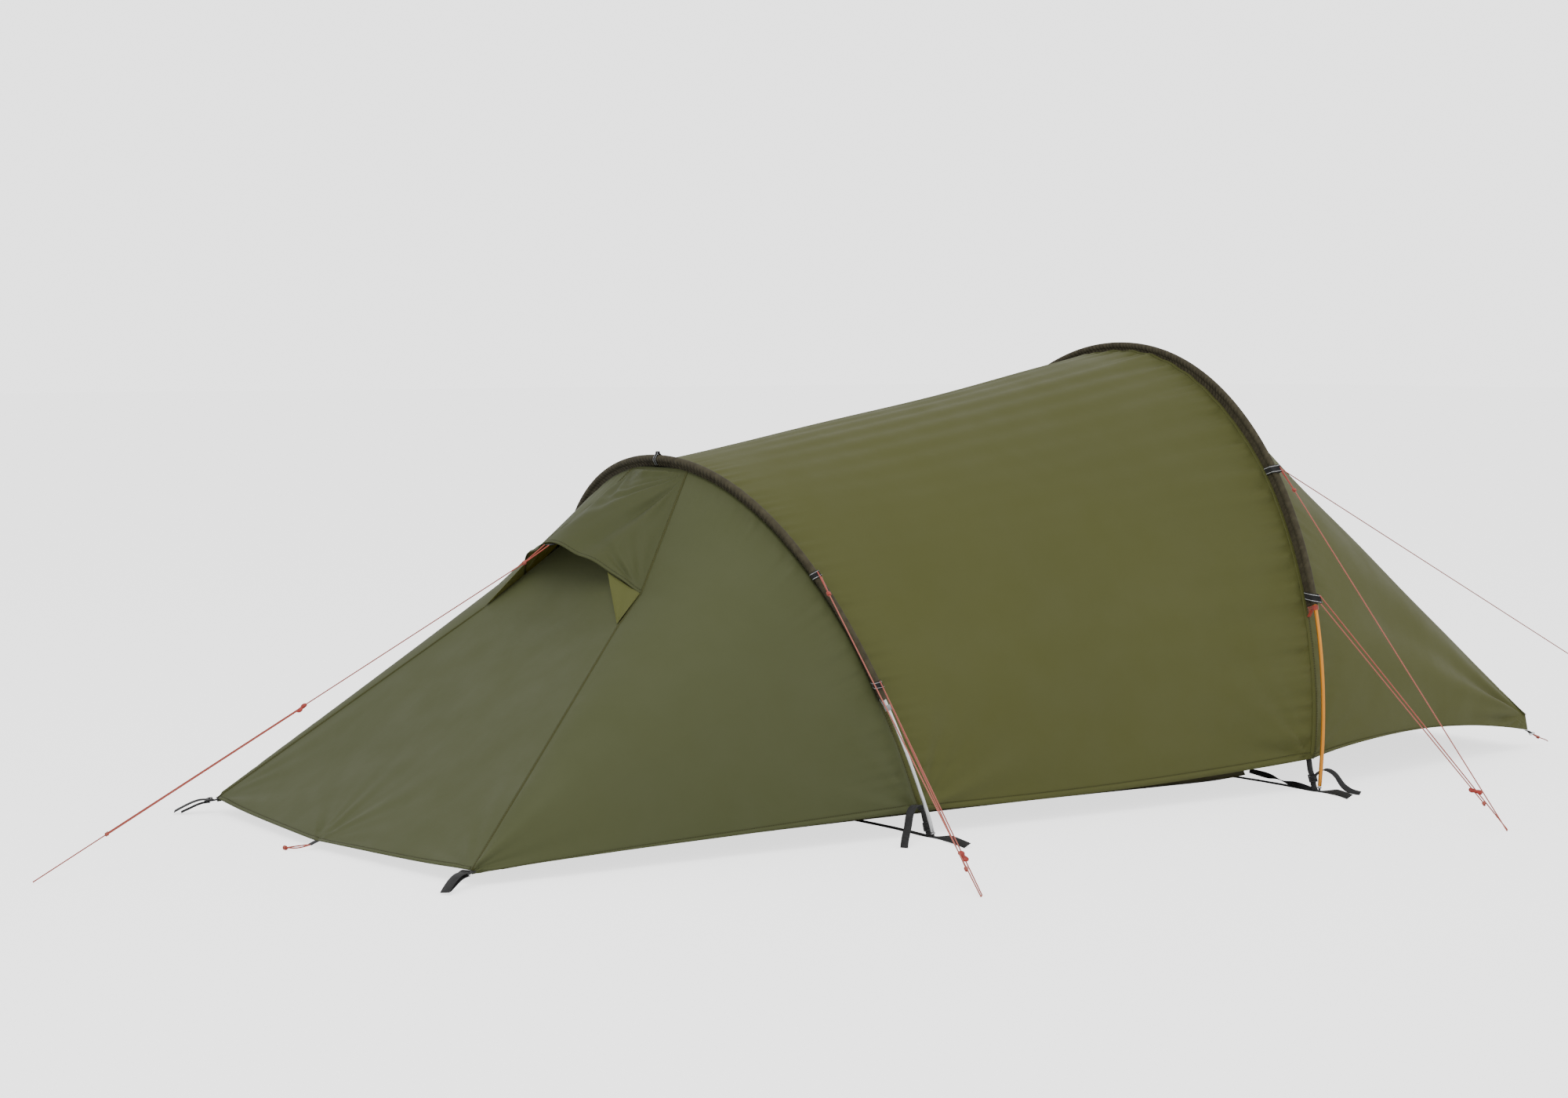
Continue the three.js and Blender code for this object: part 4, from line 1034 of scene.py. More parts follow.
def porch_front():
    """The fixed front: a cap under the hoop and a strip down each ridge to its corner."""
    inward, place = field(40, 220)
    place = 2 * place - 1
    size = np.abs(place)
    cap = tall.edge(lerp(0.5, ridge_tall, np.minimum(1, size / RIDGE_CAP)), SEAM)
    outer = lerp(cap, porch_corner_top, np.maximum(0, (size - RIDGE_CAP) / (1 - RIDGE_CAP))[..., None])
    inner = lerp(zip_top + [-0.003, 0, 0.003], leaf_foot + [0, 0, 0.004], size[..., None])
    grid = lerp(outer, inner, inward[..., None])
    grid[..., 1] *= np.where(place < 0, 1, -1)
    return emboss(grid, 0.0012 * swell(grid, 0.25, 61) * smooth(inward * 4) * smooth((1 - inward) * 4))


def porch_leaf():
    """The near leaf, from its fold line to the zip."""
    down, across = field(110, 60)
    down = lerp(LEAF_TOP, 1, down)
    hinge = lerp(zip_top, leaf_foot, down[..., None])
    edge = lerp(zip_top, zip_foot, down[..., None])
    width = np.linalg.norm(edge - hinge, axis=-1)
    grid = lerp(hinge, edge, lerp(-0.010 / width, 1 - 0.0035 / width, across)[..., None])
    by_zip = smooth((1 - across) * 8)
    depth = 0.0016 * swell(grid, 0.28, 71) * smooth(across * 4) * by_zip
    depth += 0.0030 * fan(grid, leaf_foot, (-0.6, 0.5, 0.5), (0.7, 0, 0.7), 11, 0.35, 72) * by_zip
    depth -= 0.0012 * smooth(1 - across * width / 0.02)
    return emboss(grid, depth)


def porch_zip_half(node, flip):
    """A leaf's teeth, tapes and stitches along the zip."""
    across = ACROSS * flip
    outward = unit(np.cross(ACROSS, ZIP_DOWN))
    outward = outward * np.sign(outward[2])
    line = np.array([lerp(zip_top, zip_foot, 0.04), lerp(zip_top, zip_foot, 0.995)])
    centres = resample(line - across * 0.0018, 0.0032)
    axes = (unit(centres[-1] - centres[0]), across, outward)
    zip_teeth(f"{node}_zip_teeth", centres, axes, (0.0010, 0.0016, 0.0009), node)
    line = resample(line, 0.02)[:, None]
    tape = line - across * np.linspace(0.0030, 0.017, 4)[:, None] + outward * 0.0014
    backing = line - across * np.linspace(0.0002, 0.010, 3)[:, None] - outward * 0.0009
    cloth(f"{node}_zip_tape", tape, seam_cloth, 0.0009, body=node)
    cloth(f"{node}_zip_backing", backing, black_tape, 0.0006, body=node)
    normals = np.broadcast_to(outward, tape[:, 3].shape)
    stitches(f"{node}_zip_stitches", tape[:, 3] + outward * 0.0004, normals, node)


def porch_doors():
    """Two leaves, each with its cloth reaching a little past its fold line."""
    leaf = porch_leaf()
    fold = unit(leaf_foot - zip_top)
    toward = zip_foot - leaf_foot
    toward = unit(toward - fold * (toward @ fold))
    for (side, flip), points in zip(SIDES, (leaf, mirrored(leaf))):
        node = f"porch_door_{side}"
        obj = sheet(f"{node}_cloth", points, fly_cloth)
        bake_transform(obj)
        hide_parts(node)
        porch_zip_half(node, flip)


def zip_patch():
    """The patch that closes the porch front over the top of the zip, between the leaves' top edges."""
    down, across = field(8, 25)
    down = lerp(0.0005, LEAF_TOP - 0.0005, down)[..., None]
    across = (2 * across - 1) * 1.3
    size = np.abs(across)[..., None]
    corner = leaf_foot * to_side(np.sign(across))
    grid = zip_top + down * ((1 - size) * (zip_foot - zip_top) + size * (corner - zip_top))
    cloth("porch_zip_patch", grid + OUT * 0.0014, fly_cloth, 0.0009)


def corner_patch():
    """The doubled cloth at a porch corner, from the ridge down to the hem and across to the leaf."""
    down, across = field(8, 8)
    edge = lerp(porch_corner_top, porch_corner, down[..., None])
    grid = lerp(edge, leaf_foot + [0.001, 0, 0.002], 0.97 * across[..., None])
    cloth_pair("porch_corner_patch", grid + OUT * 0.0006, fly_cloth, thickness=0.0009)


def slider(name, node, origin, along):
    """A zip slider: a shield body with a bridge, and a cord-pull tab hanging from it."""
    outward = np.cross(ACROSS, along)
    cos, sin = circle(16)
    ring = ACROSS * (np.copysign(np.abs(cos) ** 0.5, cos) * 0.0042)[:, None]
    crown = outward * (np.copysign(np.abs(sin) ** 0.5, sin) * 0.0019 + 0.0021)[:, None]
    stops = ((0.0, 0.55), (0.12, 0.95), (0.5, 1.0), (0.85, 0.7), (1.0, 0.45))
    rings = [origin + along * (0.0065 - 0.013 * place) + ring * width + crown for place, width in stops]
    finish_piece(loft(name, np.array(rings), black_plastic), node, [node])
    stops = ((0.0042, 0.002), (0.0052, 0.012), (0.0032, 0.024))
    pull = [origin + outward * out - along * down for out, down in stops]
    strap(f"{name}_pull", pull, ACROSS, 0.0055, 0.0016, BUCKLE_LOOK, node)


porch_grid = porch_side()
cloth_pair("porch_side_cloth", porch_grid, fly_cloth, "porch_side")
hem_band("porch_side_hem", porch_grid, fly_cloth, slice(128, 130))
cloth("porch_front_cloth", porch_front(), fly_cloth, replaced=["porch_front_panel"])
corner_seam("porch_ridge_seam", porch_grid, (0.7, 0, 0.7), 0.009)
porch_doors()
zip_patch()
corner_patch()
zip_along = np.array(joint("porch_zip")["axis"])
slider_up = (corners("porch_zip_slider").mean(axis=0) - zip_top) @ zip_along
zip_origin = zip_top + zip_along * (slider_up + 0.006) - ACROSS * 0.0052
slider("porch_zip_pull", "porch_zip_slider", zip_origin, zip_along)


# ---- inner tent ----
SEWN_LAP = 0.006
TUB_LIFT = 0.020
TUB_ROLL = 0.12
TUB_BASE = 0.0015
TUB_CORNER = 0.04
tub_low, tub_high = corners("inner_tub_floor")
tub_points = vertices("inner_tub_floor")
tub_back = np.abs(tub_points[tub_points[:, 0] < tub_low[0] + 0.06][:, 1]).max()


def tub_outline():
    """The tub's outer edge seen from above: a trapezium with rounded corners."""
    half_back, half_front = tub_back + 0.003, tub_high[1]
    near = np.array([(tub_low[0], -half_back), (tub_high[0], -half_front)])
    bends = np.concatenate([near, near[::-1] * [1, -1]])
    share = np.linspace(0, 1, 9)[:, None]
    path = []
    for corner, last, following in zip(bends, np.roll(bends, 1, axis=0), np.roll(bends, -1, axis=0)):
        bend = (1 - share) ** 2 * unit(last - corner) + share**2 * unit(following - corner)
        path += list(corner + TUB_CORNER * bend)
    return resample([*path, path[0]], 0.008)[:-1]


def tub():
    """The tub floor: flat on the ground, lifted at its edge, with a low wall and a folded hem."""
    path = tub_outline()
    centre = np.array([np.mean(path[:, 0]), 0.0])
    inward = unit(centre - path)
    distance = np.linalg.norm(path - centre, axis=1)
    rows = []
    for share in np.linspace(0.001, 1, 60):
        place = centre - inward * (distance * share)[:, None]
        lift = TUB_LIFT * np.clip(1 - distance * (1 - share) * 0.6 / TUB_ROLL, 0, 1) ** 2
        rows.append(np.column_stack([place, TUB_BASE + lift]))
    step = np.arange(len(path))
    wave = 0.003 * np.sin(step * 0.21) + 0.002 * np.sin(step * 0.083)
    for share in np.linspace(0.1, 1, 12):
        bulge = (wave - 0.006) * math.sin(math.pi * share) + 0.003 * share
        height = np.full(len(path), lerp(TUB_BASE + TUB_LIFT, tub_high[2], share))
        rows.append(np.column_stack([path + inward * (0.002 - bulge)[:, None], height]))
    grid = np.stack(rows)
    grid = np.concatenate([grid, grid[:, :1]], axis=1)
    cloth("tub_floor_cloth", grid, tub_cloth, 0.0008, replaced=["inner_tub_floor"])
    cloth("tub_hem", grid[-3:] + [0, 0, 0.0004], tub_cloth, 0.0026)


def arch(turn, half, base, top):
    """Across and height of an arch that is a little fuller than a half ellipse."""
    power = 0.97
    across = -np.sign(np.cos(turn)) * np.abs(np.cos(turn)) ** power
    return half * across, base + (top - base) * np.sin(turn).clip(0) ** power


def inner_canopy():
    """Arches over the tub, as high at each station as the CAD solid. The back end comes down to the tub."""
    points = vertices("inner_canopy")
    stations = np.unique(points[:, 0].round(3))
    tops = np.array([points[np.abs(points[:, 0] - x) < 0.002][:, 2].max() for x in stations])
    keep = np.concatenate([[True], np.diff(stations) > 0.03])
    stations, tops = stations[keep], tops[keep]
    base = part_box("inner_canopy")[0][2] - SEWN_LAP
    tops[0] = base + 0.001
    along, around = field(110, 120)
    place = lerp(stations[0], stations[-1], along)
    height = Spline(np.column_stack([stations, tops, 0 * tops])).points
    half = np.interp(place, [tub_low[0], tub_high[0]], [tub_back, tub_high[1]]) - 0.003
    across, up = arch(math.pi * around, half, base, np.interp(place, height[:, 0], height[:, 1]))
    grid = np.stack([place, across, up], axis=-1)
    grid = emboss(grid, 0.002 * swell(grid, 0.3, 81) * smooth(4 * (1 - along)))
    cloth("inner_canopy_cloth", grid, inner_cloth, replaced=["inner_canopy"])


class Doorway:
    """The inner door's outline: straight sides to a shoulder and an arch above."""

    ANGLES = np.linspace(-math.pi, math.pi, 300)

    def __init__(self):
        points = vertices("inner_door")
        lowest, highest = corners("inner_door")
        self.x = (lowest[0] + highest[0]) / 2
        self.half = highest[1]
        self.sill = lowest[2]
        self.top = highest[2]
        self.shoulder = points[np.abs(points[:, 1]) > self.half - 0.0005][:, 2].max()
        self.middle = (self.sill + self.shoulder) / 2

    def outline(self, grow):
        """Once round the doorway, from the middle of its sill, grown by a margin."""
        count = 240
        turn = np.linspace(0, math.pi, 60)
        half = self.half + grow
        foot = [self.sill - grow] * 2
        y = np.concatenate([[0, half], half * np.cos(turn), [-half, 0]])
        z = np.concatenate([foot, self.shoulder + (self.top - self.shoulder + grow) * np.sin(turn), foot])
        path = resample(np.column_stack([0 * y, y, z]), 0.004)
        length = np.linalg.norm(np.diff(path, axis=0), axis=1).sum()
        return resample(path, length / (count - 1) * 0.9999)[:count]

    def half_at(self, height):
        over = np.clip((height - self.shoulder) / (self.top - self.shoulder), 0, 1)
        return self.half * np.sqrt(1 - over**2)

    def radii(self, path):
        """How far a path round the doorway's middle is from it at each angle."""
        offset = path[:, 1:] - [0, self.middle]
        angle = np.unwrap(np.arctan2(offset[:, 1], offset[:, 0]))
        order = np.argsort(angle)
        radius = np.linalg.norm(offset, axis=1)
        return np.interp(self.ANGLES, angle[order], radius[order], period=2 * math.pi)

    def ring(self, x, radius):
        """Points about the doorway's middle for radii at each angle."""
        height = self.middle + radius * np.sin(self.ANGLES)
        return np.stack([x + 0 * radius, radius * np.cos(self.ANGLES), height], axis=-1)


doorway = Doorway()


def inner_front_wall():
    """The wall round the doorway, out to the canopy and down to the tub, with a taped edge."""
    lowest, highest = corners("inner_front_wall")
    turn = np.linspace(0, math.pi, 120)
    edge_y, edge_z = arch(turn, highest[1] - 0.001, lowest[2], highest[2])
    foot = np.linspace(edge_y[-1], edge_y[0], 60)
    outer = np.column_stack([np.zeros(180), [*edge_y, *foot], [*edge_z, *(0 * foot + lowest[2])]])
    outward = np.linspace(0, 1, 26)[:, None]
    radius = lerp(doorway.radii(doorway.outline(0.004)), doorway.radii(outer), outward)
    grid = doorway.ring((lowest[0] + highest[0]) / 2, radius)
    grid[..., 0] += 0.003 * swell(grid, 0.24, 91) * np.sin(outward * math.pi)
    cloth("inner_front_cloth", grid, inner_cloth, replaced=["inner_front_wall"])
    step = (grid[1] - grid[0]) / (radius[1] - radius[0])[:, None]
    tape = grid[0] + step * np.linspace(0, 0.012, 4)[:, None, None] + [0.001, 0, 0]
    cloth("doorway_tape", tape, black_tape, 0.001)


def inner_door():
    """The door panel, a little slack, bound at its edge, with the zip's teeth round it."""
    node = "inner_door"
    up, across = field(70, 70)
    height = lerp(doorway.sill + 0.002, doorway.top - 0.002, 1 - (1 - up) ** 1.6)
    half = doorway.half_at(height) - 0.001
    grid = np.stack([doorway.x + 0 * up, half * (2 * across - 1), height], axis=-1)
    slack = np.sin(math.pi * up) * np.sin(math.pi * across)
    grid[..., 0] += (0.006 + 0.002 * swell(grid, 0.15, 92)) * slack
    cloth("inner_door_cloth", grid, inner_cloth, body=node, replaced=[node])
    for name, start, end, rise, material in (
        ("binding", 0.012, 0.001, 0.0016, tub_cloth),
        ("zip_tape", 0.001, -0.003, 0.0012, black_tape),
    ):
        insets = (start, (start + end) / 2, end)
        radius = np.stack([doorway.radii(doorway.outline(-inset)) for inset in insets])
        band = doorway.ring(doorway.x + rise, radius)
        cloth(f"inner_door_{name}", band, material, 0.0008, node)
    centres = resample(doorway.outline(0.001) + [doorway.x + 0.0024, 0, 0], 0.0036)
    along = unit(np.gradient(centres, axis=0))
    outward = np.array([1.0, 0, 0])
    axes = (along, np.cross(outward, along), outward)
    zip_teeth("inner_door_zip_teeth", centres, axes, (0.0010, 0.0015, 0.0009), node)


tub()
inner_canopy()
inner_front_wall()
inner_door()
inner_low, inner_high = corners("inner_zip_slider")
inner_origin = np.array([inner_low[0], (inner_low[1] + inner_high[1]) / 2, inner_high[2] - 0.007])
slider("inner_zip_pull", "inner_zip_slider", inner_origin, UP)


# ---- guy lines ----
def runner(name, node, axis, tilt):
    """A dog-bone runner: two rounded ends and a waist."""
    centre = corners(node).mean(axis=0)
    level = unit(np.cross(axis, UP))
    normal = np.cross(level, axis)
    turned = Matrix.Rotation(tilt if centre[1] < 0.01 else -tilt, 3, Vector(normal))
    axis, level = (np.array(turned @ Vector(v)) for v in (axis, level))
    place = np.linspace(-1, 1, 41)
    lobe = 0.55 + 0.45 * np.sin(np.clip((np.abs(place) - 0.12) / 0.55, 0, 1) * math.pi / 2)
    ends = np.sqrt(np.clip(1 - np.clip((np.abs(place) - 0.6) / 0.4, 0, 1) ** 2, 0.004, 1))
    wide = 0.0072 * lobe * ends
    deep = 0.0042 * (0.75 + 0.25 * lobe) * ends
    cos, sin = circle(24)
    rings = centre + axis * (place * 0.0165)[:, None, None]
    rings = rings + level * np.outer(wide, cos)[..., None] + normal * np.outer(deep, sin)[..., None]
    finish_piece(loft(name, rings, red_plastic), node, [node])


def vee_guy(hoop, tilt):
    """From the peg one cord runs to the upper loop, and another up through the lower loop to its runner."""
    label = hoop.label
    upper, lower = tabs[label]["upper"], tabs[label]["lower"]
    points = vertices(f"{label}_guy_line_near")
    anchor = points[np.argmin(points[:, 2] * 4 + points[:, 1])] * [1, 1, 0] + [0, 0.003, 0.002]
    top, bottom = (hoop.beside(share, FOLD - LOOP_TAB[label]) for share in (upper, lower))
    axis = unit(bottom - anchor)
    level = unit(np.cross(axis, UP)) * 0.0035
    head = lerp(top, anchor, 0.075)
    turn = anchor + axis * 0.004
    runner_end = turn + axis * 0.085 - level
    strands = [fold_strands(hoop, upper, (head, head)), [head, anchor], [anchor, turn + level]]
    strands += [fold_strands(hoop, lower, (turn + level, runner_end))]
    strands += [*knot(head, anchor - top), *knot(runner_end, axis, 0.003)]
    cord_pair(f"{label}_guy_cord", strands, f"{label}_guy_line")
    for side, flip in SIDES:
        runner(f"{label}_guy_slider_{side}", f"{label}_guy_runner_{side}", axis * flip, tilt)


def runner_strands(anchor, head, level, merge_at, runner_at):
    """A cord from its head to the runner and back to where its two strands merge, and on to the peg."""
    axis = unit(head - anchor)
    merge = anchor + axis * merge_at
    by_runner = anchor + axis * runner_at
    strands = [[head, by_runner + level * 0.002, merge + level * 0.0035, merge]]
    strands += [[by_runner - level * 0.0035 - axis * 0.004, merge - level * 0.0035, merge - axis * 0.004]]
    return [*strands, [merge, anchor], *knot(merge, axis, 0.003)]


def foot_guy():
    """One line from the hood's peak, where its cord passes through a webbing tab."""
    points = vertices("foot_guy_line")
    anchor = points[np.argmin(points[:, 0])] * [1, 0, 1]
    head = nearest("foot_guy_line", -1.191, 0, 0.587) * [1, 0, 1]
    axis = unit(head - anchor)
    peak = hood_peak * [1, 0, 1]
    tab = peak + [-0.012, 0, -0.004]
    paths = [[tab + ACROSS * 0.009 * side, head + ACROSS * 0.001 * side] for side in (1, -1)]
    paths += [*runner_strands(anchor, head, ACROSS, 0.178, 0.675), *knot(head, axis)]
    cords("foot_guy_cord", paths, ["foot_guy_line"])
    runner("foot_guy_slider", "foot_guy_runner", axis, 0.5)
    strap("foot_guy_tab", [peak + [0.028, 0, 0.004], peak + [0, 0, -0.003], tab], ACROSS, 0.022)


def forward_guy():
    """From the tall hoop's upper loops towards the porch."""
    points = vertices("forward_guy_line_near")
    anchor = points[np.argmin(points[:, 2])] * [1, 1, 0] + [0, 0, 0.002]
    fold = tabs["tall"]["upper"] - LOOP_SLANT["tall"] / tall.length
    top = tall.beside(fold, FOLD - LOOP_TAB["tall"], 0.0005)
    head = lerp(top, anchor, 0.03)
    axis = unit(head - anchor)
    strands = [[top, head], *runner_strands(anchor, head, unit(np.cross(axis, UP)), 0.15, 0.33)]
    cord_pair("forward_guy_cord", strands, "forward_guy_line")
    for side, flip in SIDES:
        runner(f"forward_guy_slider_{side}", f"forward_guy_runner_{side}", axis * flip, 0.4)


def sleeve_ties():
    """At each end of the tall sleeve a cord is wrapped round the pole and tied to the seam, by a red tab."""
    start = sleeve_start(tall)
    step = 1 / tall.length
    pole_at = tall.at(start - 0.0075 * step)
    axis = tall.tangent(start)
    seam = tall.beside(start - 0.0065 * step, tall.sewn_inset(start) - 0.004)
    wraps = [wrap_path(pole_at, axis, 0.0066, 4, 0.0030)]
    for lift in (-0.003, 0.0, 0.003):
        wraps.append([lerp(pole_at, seam, 0.24) + axis * lift, seam + axis * lift * 1.6])
    cord_pair("tall_sleeve_tie", wraps)
    tab = [tall.beside(start - 0.011 * step, 0.008, -0.003), tall.beside(start - 0.026 * step, 0.022, -0.003)]
    tab = [tab[0], lerp(*tab, 0.5), tab[1]]
    strap_pair("tall_sleeve_tab", tab, tall.aside, 0.012, 0.0016, ("guy_cord", red_tape))


def sleeve_clips():
    """A grey hook at each end of the low sleeve, clipped on the pole."""
    start = sleeve_start(low)
    turn = np.linspace(0.15 * math.pi, 1.85 * math.pi, 24)[:, None]
    inward = low.beside(start, 1.0) - low.at(start)
    hook = low.at(start - 0.008) + 0.0068 * (inward * np.cos(turn) + low.aside * np.sin(turn))
    arm = low.beside(start + np.array([-0.007, -0.002, 0.002]), [0.007, 0.010, 0.0125])
    strap_pair("low_sleeve_clip", hook, low.tangent(start), 0.012, 0.0026, ("buckle", grey_plastic))
    strap_pair("low_sleeve_clip_arm", arm, low.aside, 0.007, 0.002, ("buckle", grey_plastic))


sleeve_ties()
sleeve_clips()
vee_guy(low, 0.15)
vee_guy(tall, 1.1)
foot_guy()
forward_guy()


# ---- webbing on the ground ----
FOOT_PEG = foot_corner + [-0.0812, -0.0272, -0.0211]
PORCH_PEG = porch_corner + [0.1549, 0.0205, -0.0440]
TAPE = 0.0195
RISER_INBOARD = 0.0123
# From the middle of the CAD riser's top end to where the riser meets the hem's edge.
TO_HEM = {"low": [-0.010, 0, 0.003], "tall": [0.004, 0, 0.001]}
LOCK_HALF = np.array([0.0135, 0.0098, 0.0019])
LOCK_SLOT_HALF = np.array([0.0104, 0.0016, 0.01])
LOCK_SLOTS = np.array([[0, 0.0055, 0], [0, -0.0055, 0]])
RIB_PLACES = (-0.0026, 0.0, 0.0026, 0.0086)


def lock_plate(name):
    """A plate with two slots and bevelled edges, about the origin."""
    plate = boxes(name, np.zeros((1, 3)), LOCK_HALF, np.eye(3)[None], black_plastic)
    slots = boxes(f"{name}_slots", LOCK_SLOTS, LOCK_SLOT_HALF, np.array([np.eye(3)] * 2), black_plastic)
    cutter = plate.modifiers.new("slots", "BOOLEAN")
    cutter.object = slots
    cutter.operation = "DIFFERENCE"
    cutter.solver = "EXACT"
    bevel = plate.modifiers.new("edges", "BEVEL")
    bevel.width = 0.0007
    bevel.segments = 2
    bpy.context.view_layer.update()
    shape = bpy.data.meshes.new_from_object(plate.evaluated_get(bpy.context.evaluated_depsgraph_get()))
    plate.modifiers.clear()
    plate.data = shape
    bpy.data.objects.remove(slots)
    return plate


def lock_ribs(name):
    """Raised gripping ribs over the plate, with rounded ends."""
    ribs, faces = [], []
    cos, sin = circle(10)
    for number, place in enumerate(RIB_PLACES):
        ring = np.column_stack([0 * cos, place + 0.0009 * cos, 0.0019 + 0.0012 * sin])
        rings = np.array([ring + [x, 0, 0] for x in (-0.0112, -0.0104, 0.0104, 0.0112)])
        ends = rings[[0, 3], :, 1:]
        rings[[0, 3], :, 1:] = lerp(ends.mean(axis=1, keepdims=True), ends, 0.6)
        faces += ring_faces(4, 10, 40 * number)
        ribs.append(rings.reshape(-1, 3))
    return mesh_object(name, np.concatenate(ribs), faces, black_plastic)


def ladder_lock(name, node, centre, along, across):
    """A ladder-lock on a riser: a slotted plate and its ribs."""
    placed = Matrix((across, along, np.cross(across, along))).transposed().to_4x4()
    placed.translation = Vector(centre)
    for obj, replaced in ((lock_plate(name), [node]), (lock_ribs(f"{name}_ribs"), ())):
        obj.matrix_world = placed
        finish_piece(obj, node, replaced)


def riser_ends(hoop):
    """Where the near riser leaves the base strap, inboard of the pole foot, and where it meets the hem."""
    points = np.unique(vertices(f"{hoop.label}_hoop_base_strap").round(5), axis=0)
    near = points[points[:, 1] < 0]
    top = near[np.argsort(near[:, 2])][-4:].mean(axis=0) + TO_HEM[hoop.label]
    return hoop.at(0) * [1, 1, 0] + [0, RISER_INBOARD, 0.0016], top


def riser(hoop):
    """Webbing that rises from the base strap to the hem through a ladder-lock."""
    label = f"{hoop.label}_foot_buckle"
    start, top = riser_ends(hoop)
    along = unit(top - start)
    across = np.array([1.0, 0, 0])
    lift = np.cross(across, along) * 0.0024
    place = (corners(f"{label}_near").mean(axis=0) - start) @ along
    below, behind, above = (start + along * (place + reach) for reach in (-0.006, 0, 0.008))
    strap_pair(f"{label}_riser", [start, below, behind + lift, above, top, top + along * 0.006], across, TAPE)
    for (side, flip), way in zip(SIDES, (across, -across)):
        centre = (start + along * place) * flip
        ladder_lock(f"{label}_lock_{side}", f"{label}_{side}", centre, along * flip, way)


def base_strap(hoop):
    """One strap under the tent from foot to foot. Its ends lift and turn back."""
    node = f"{hoop.label}_hoop_base_strap"
    foot = -hoop.at(0)[1]
    flat = 0.0012
    half = [(-0.030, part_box(node)[1][1], 0.006), (-0.012, foot + 0.06, 0.008), (0, foot + 0.02, 0.003)]
    half += [(0, y, flat) for y in (foot, foot - 0.05, 0.3, 0)]
    half = np.array(half) * MIRROR + [hoop.at(0)[0], 0, 0]
    across = np.array([[0.9, 0.2, 0.5], [0.9, 0, 0.6], [1, 0, 0.2], *[[1, 0, 0]] * 4])
    points, across = (np.concatenate([rows, rows[-2::-1] * MIRROR]) for rows in (half, across))
    strap(f"{hoop.label}_base_strap", points, across, TAPE, replaced=[node])


# Each loose strap's stops, from a near riser's top, and the directions of its width.
LOW_TAIL = [(-0.006, -0.004, 0.002), (-0.028, -0.012, 0.015), (-0.061, -0.028, 0.008)]
LOW_TAIL += [(-0.084, -0.046, -0.018), (-0.106, -0.066, -0.032)]
LOW_TAIL += [(-0.122, -0.080, -0.046), (-0.132, -0.090, -0.056)]
LOW_TAIL_ACROSS = [(0.8, -0.6, 0), (0.8, -0.6, 0), (0.8, -0.6, 0), (0.8, -0.5, 0.1), (0.8, -0.6, 0)]
TALL_TAIL = [(0.002, -0.018, -0.036), (0.014, -0.036, -0.020), (0.024, -0.060, -0.028)]
TALL_TAIL += [(0.026, -0.082, -0.050), (0.028, -0.104, -0.063), (0.038, -0.130, -0.068)]
TALL_TAIL_ACROSS = [(1, 0, 0.1), (1, 0, 0.2), (0.9, 0.2, 0.4), (0.8, 0.2, 0.6), (0.9, 0, 0.3)]
TETHER = [(-0.033, 0.163, -0.042), (-0.012, 0.134, -0.050), (-0.006, 0.086, -0.058), (-0.004, 0.034, -0.064)]
TETHER += [(-0.004, -0.019, -0.068)]
TETHER_ACROSS = [(0.8, 0.3, 0.6), (0.2, 0.2, 1), (1, 0, -0.4), (0.3, 0.2, 1), (1, 0, 0.2)]


def foot_corner_straps():
    """A pegging strap at each foot corner: a short loop, an adjuster and its broad doubled tail."""
    start = foot_corner + [0.004, 0.004, -0.002]
    along = unit(FOOT_PEG - start)
    across = unit(np.cross(along, UP))
    lift = np.cross(across, along)

    def path(*stops):
        return [start + along * reach + lift * rise + across * shift for reach, rise, shift in stops]

    whole = path((0, 0, 0), (0.015, 0.001, 0), (0.034, 0.003, 0))
    tail = path((0.020, 0.004, 0), (0.040, 0.009, -0.001), (0.070, 0.006, -0.004), (0.104, -0.004, -0.011))
    under = path((0.022, -0.001, 0), (0.042, 0.001, 0), (0.066, -0.003, -0.001), (0.090, -0.008, -0.003))
    strap_pair("foot_corner_webbing", whole, across, 0.018, node="foot_corner_loop")
    strap_pair("foot_corner_tail", tail, across, 0.022, 0.0016)
    strap_pair("foot_corner_tail_under", under, across, 0.022, 0.0016)
    for number, reach in enumerate((0.017, 0.026)):
        bar = path((reach, 0.006, -0.0125), (reach, 0.0065, 0), (reach, 0.006, 0.0125))
        strap_pair(f"foot_corner_bar_{number}", bar, along, 0.0045, 0.003, BUCKLE_LOOK)
    for number, shift in enumerate((-0.0125, 0.0125)):
        rail = path((0.013, 0.0045, shift), (0.022, 0.006, shift), (0.031, 0.0045, shift))
        strap_pair(f"foot_corner_rail_{number}", rail, across, 0.003, 0.0036, BUCKLE_LOOK)


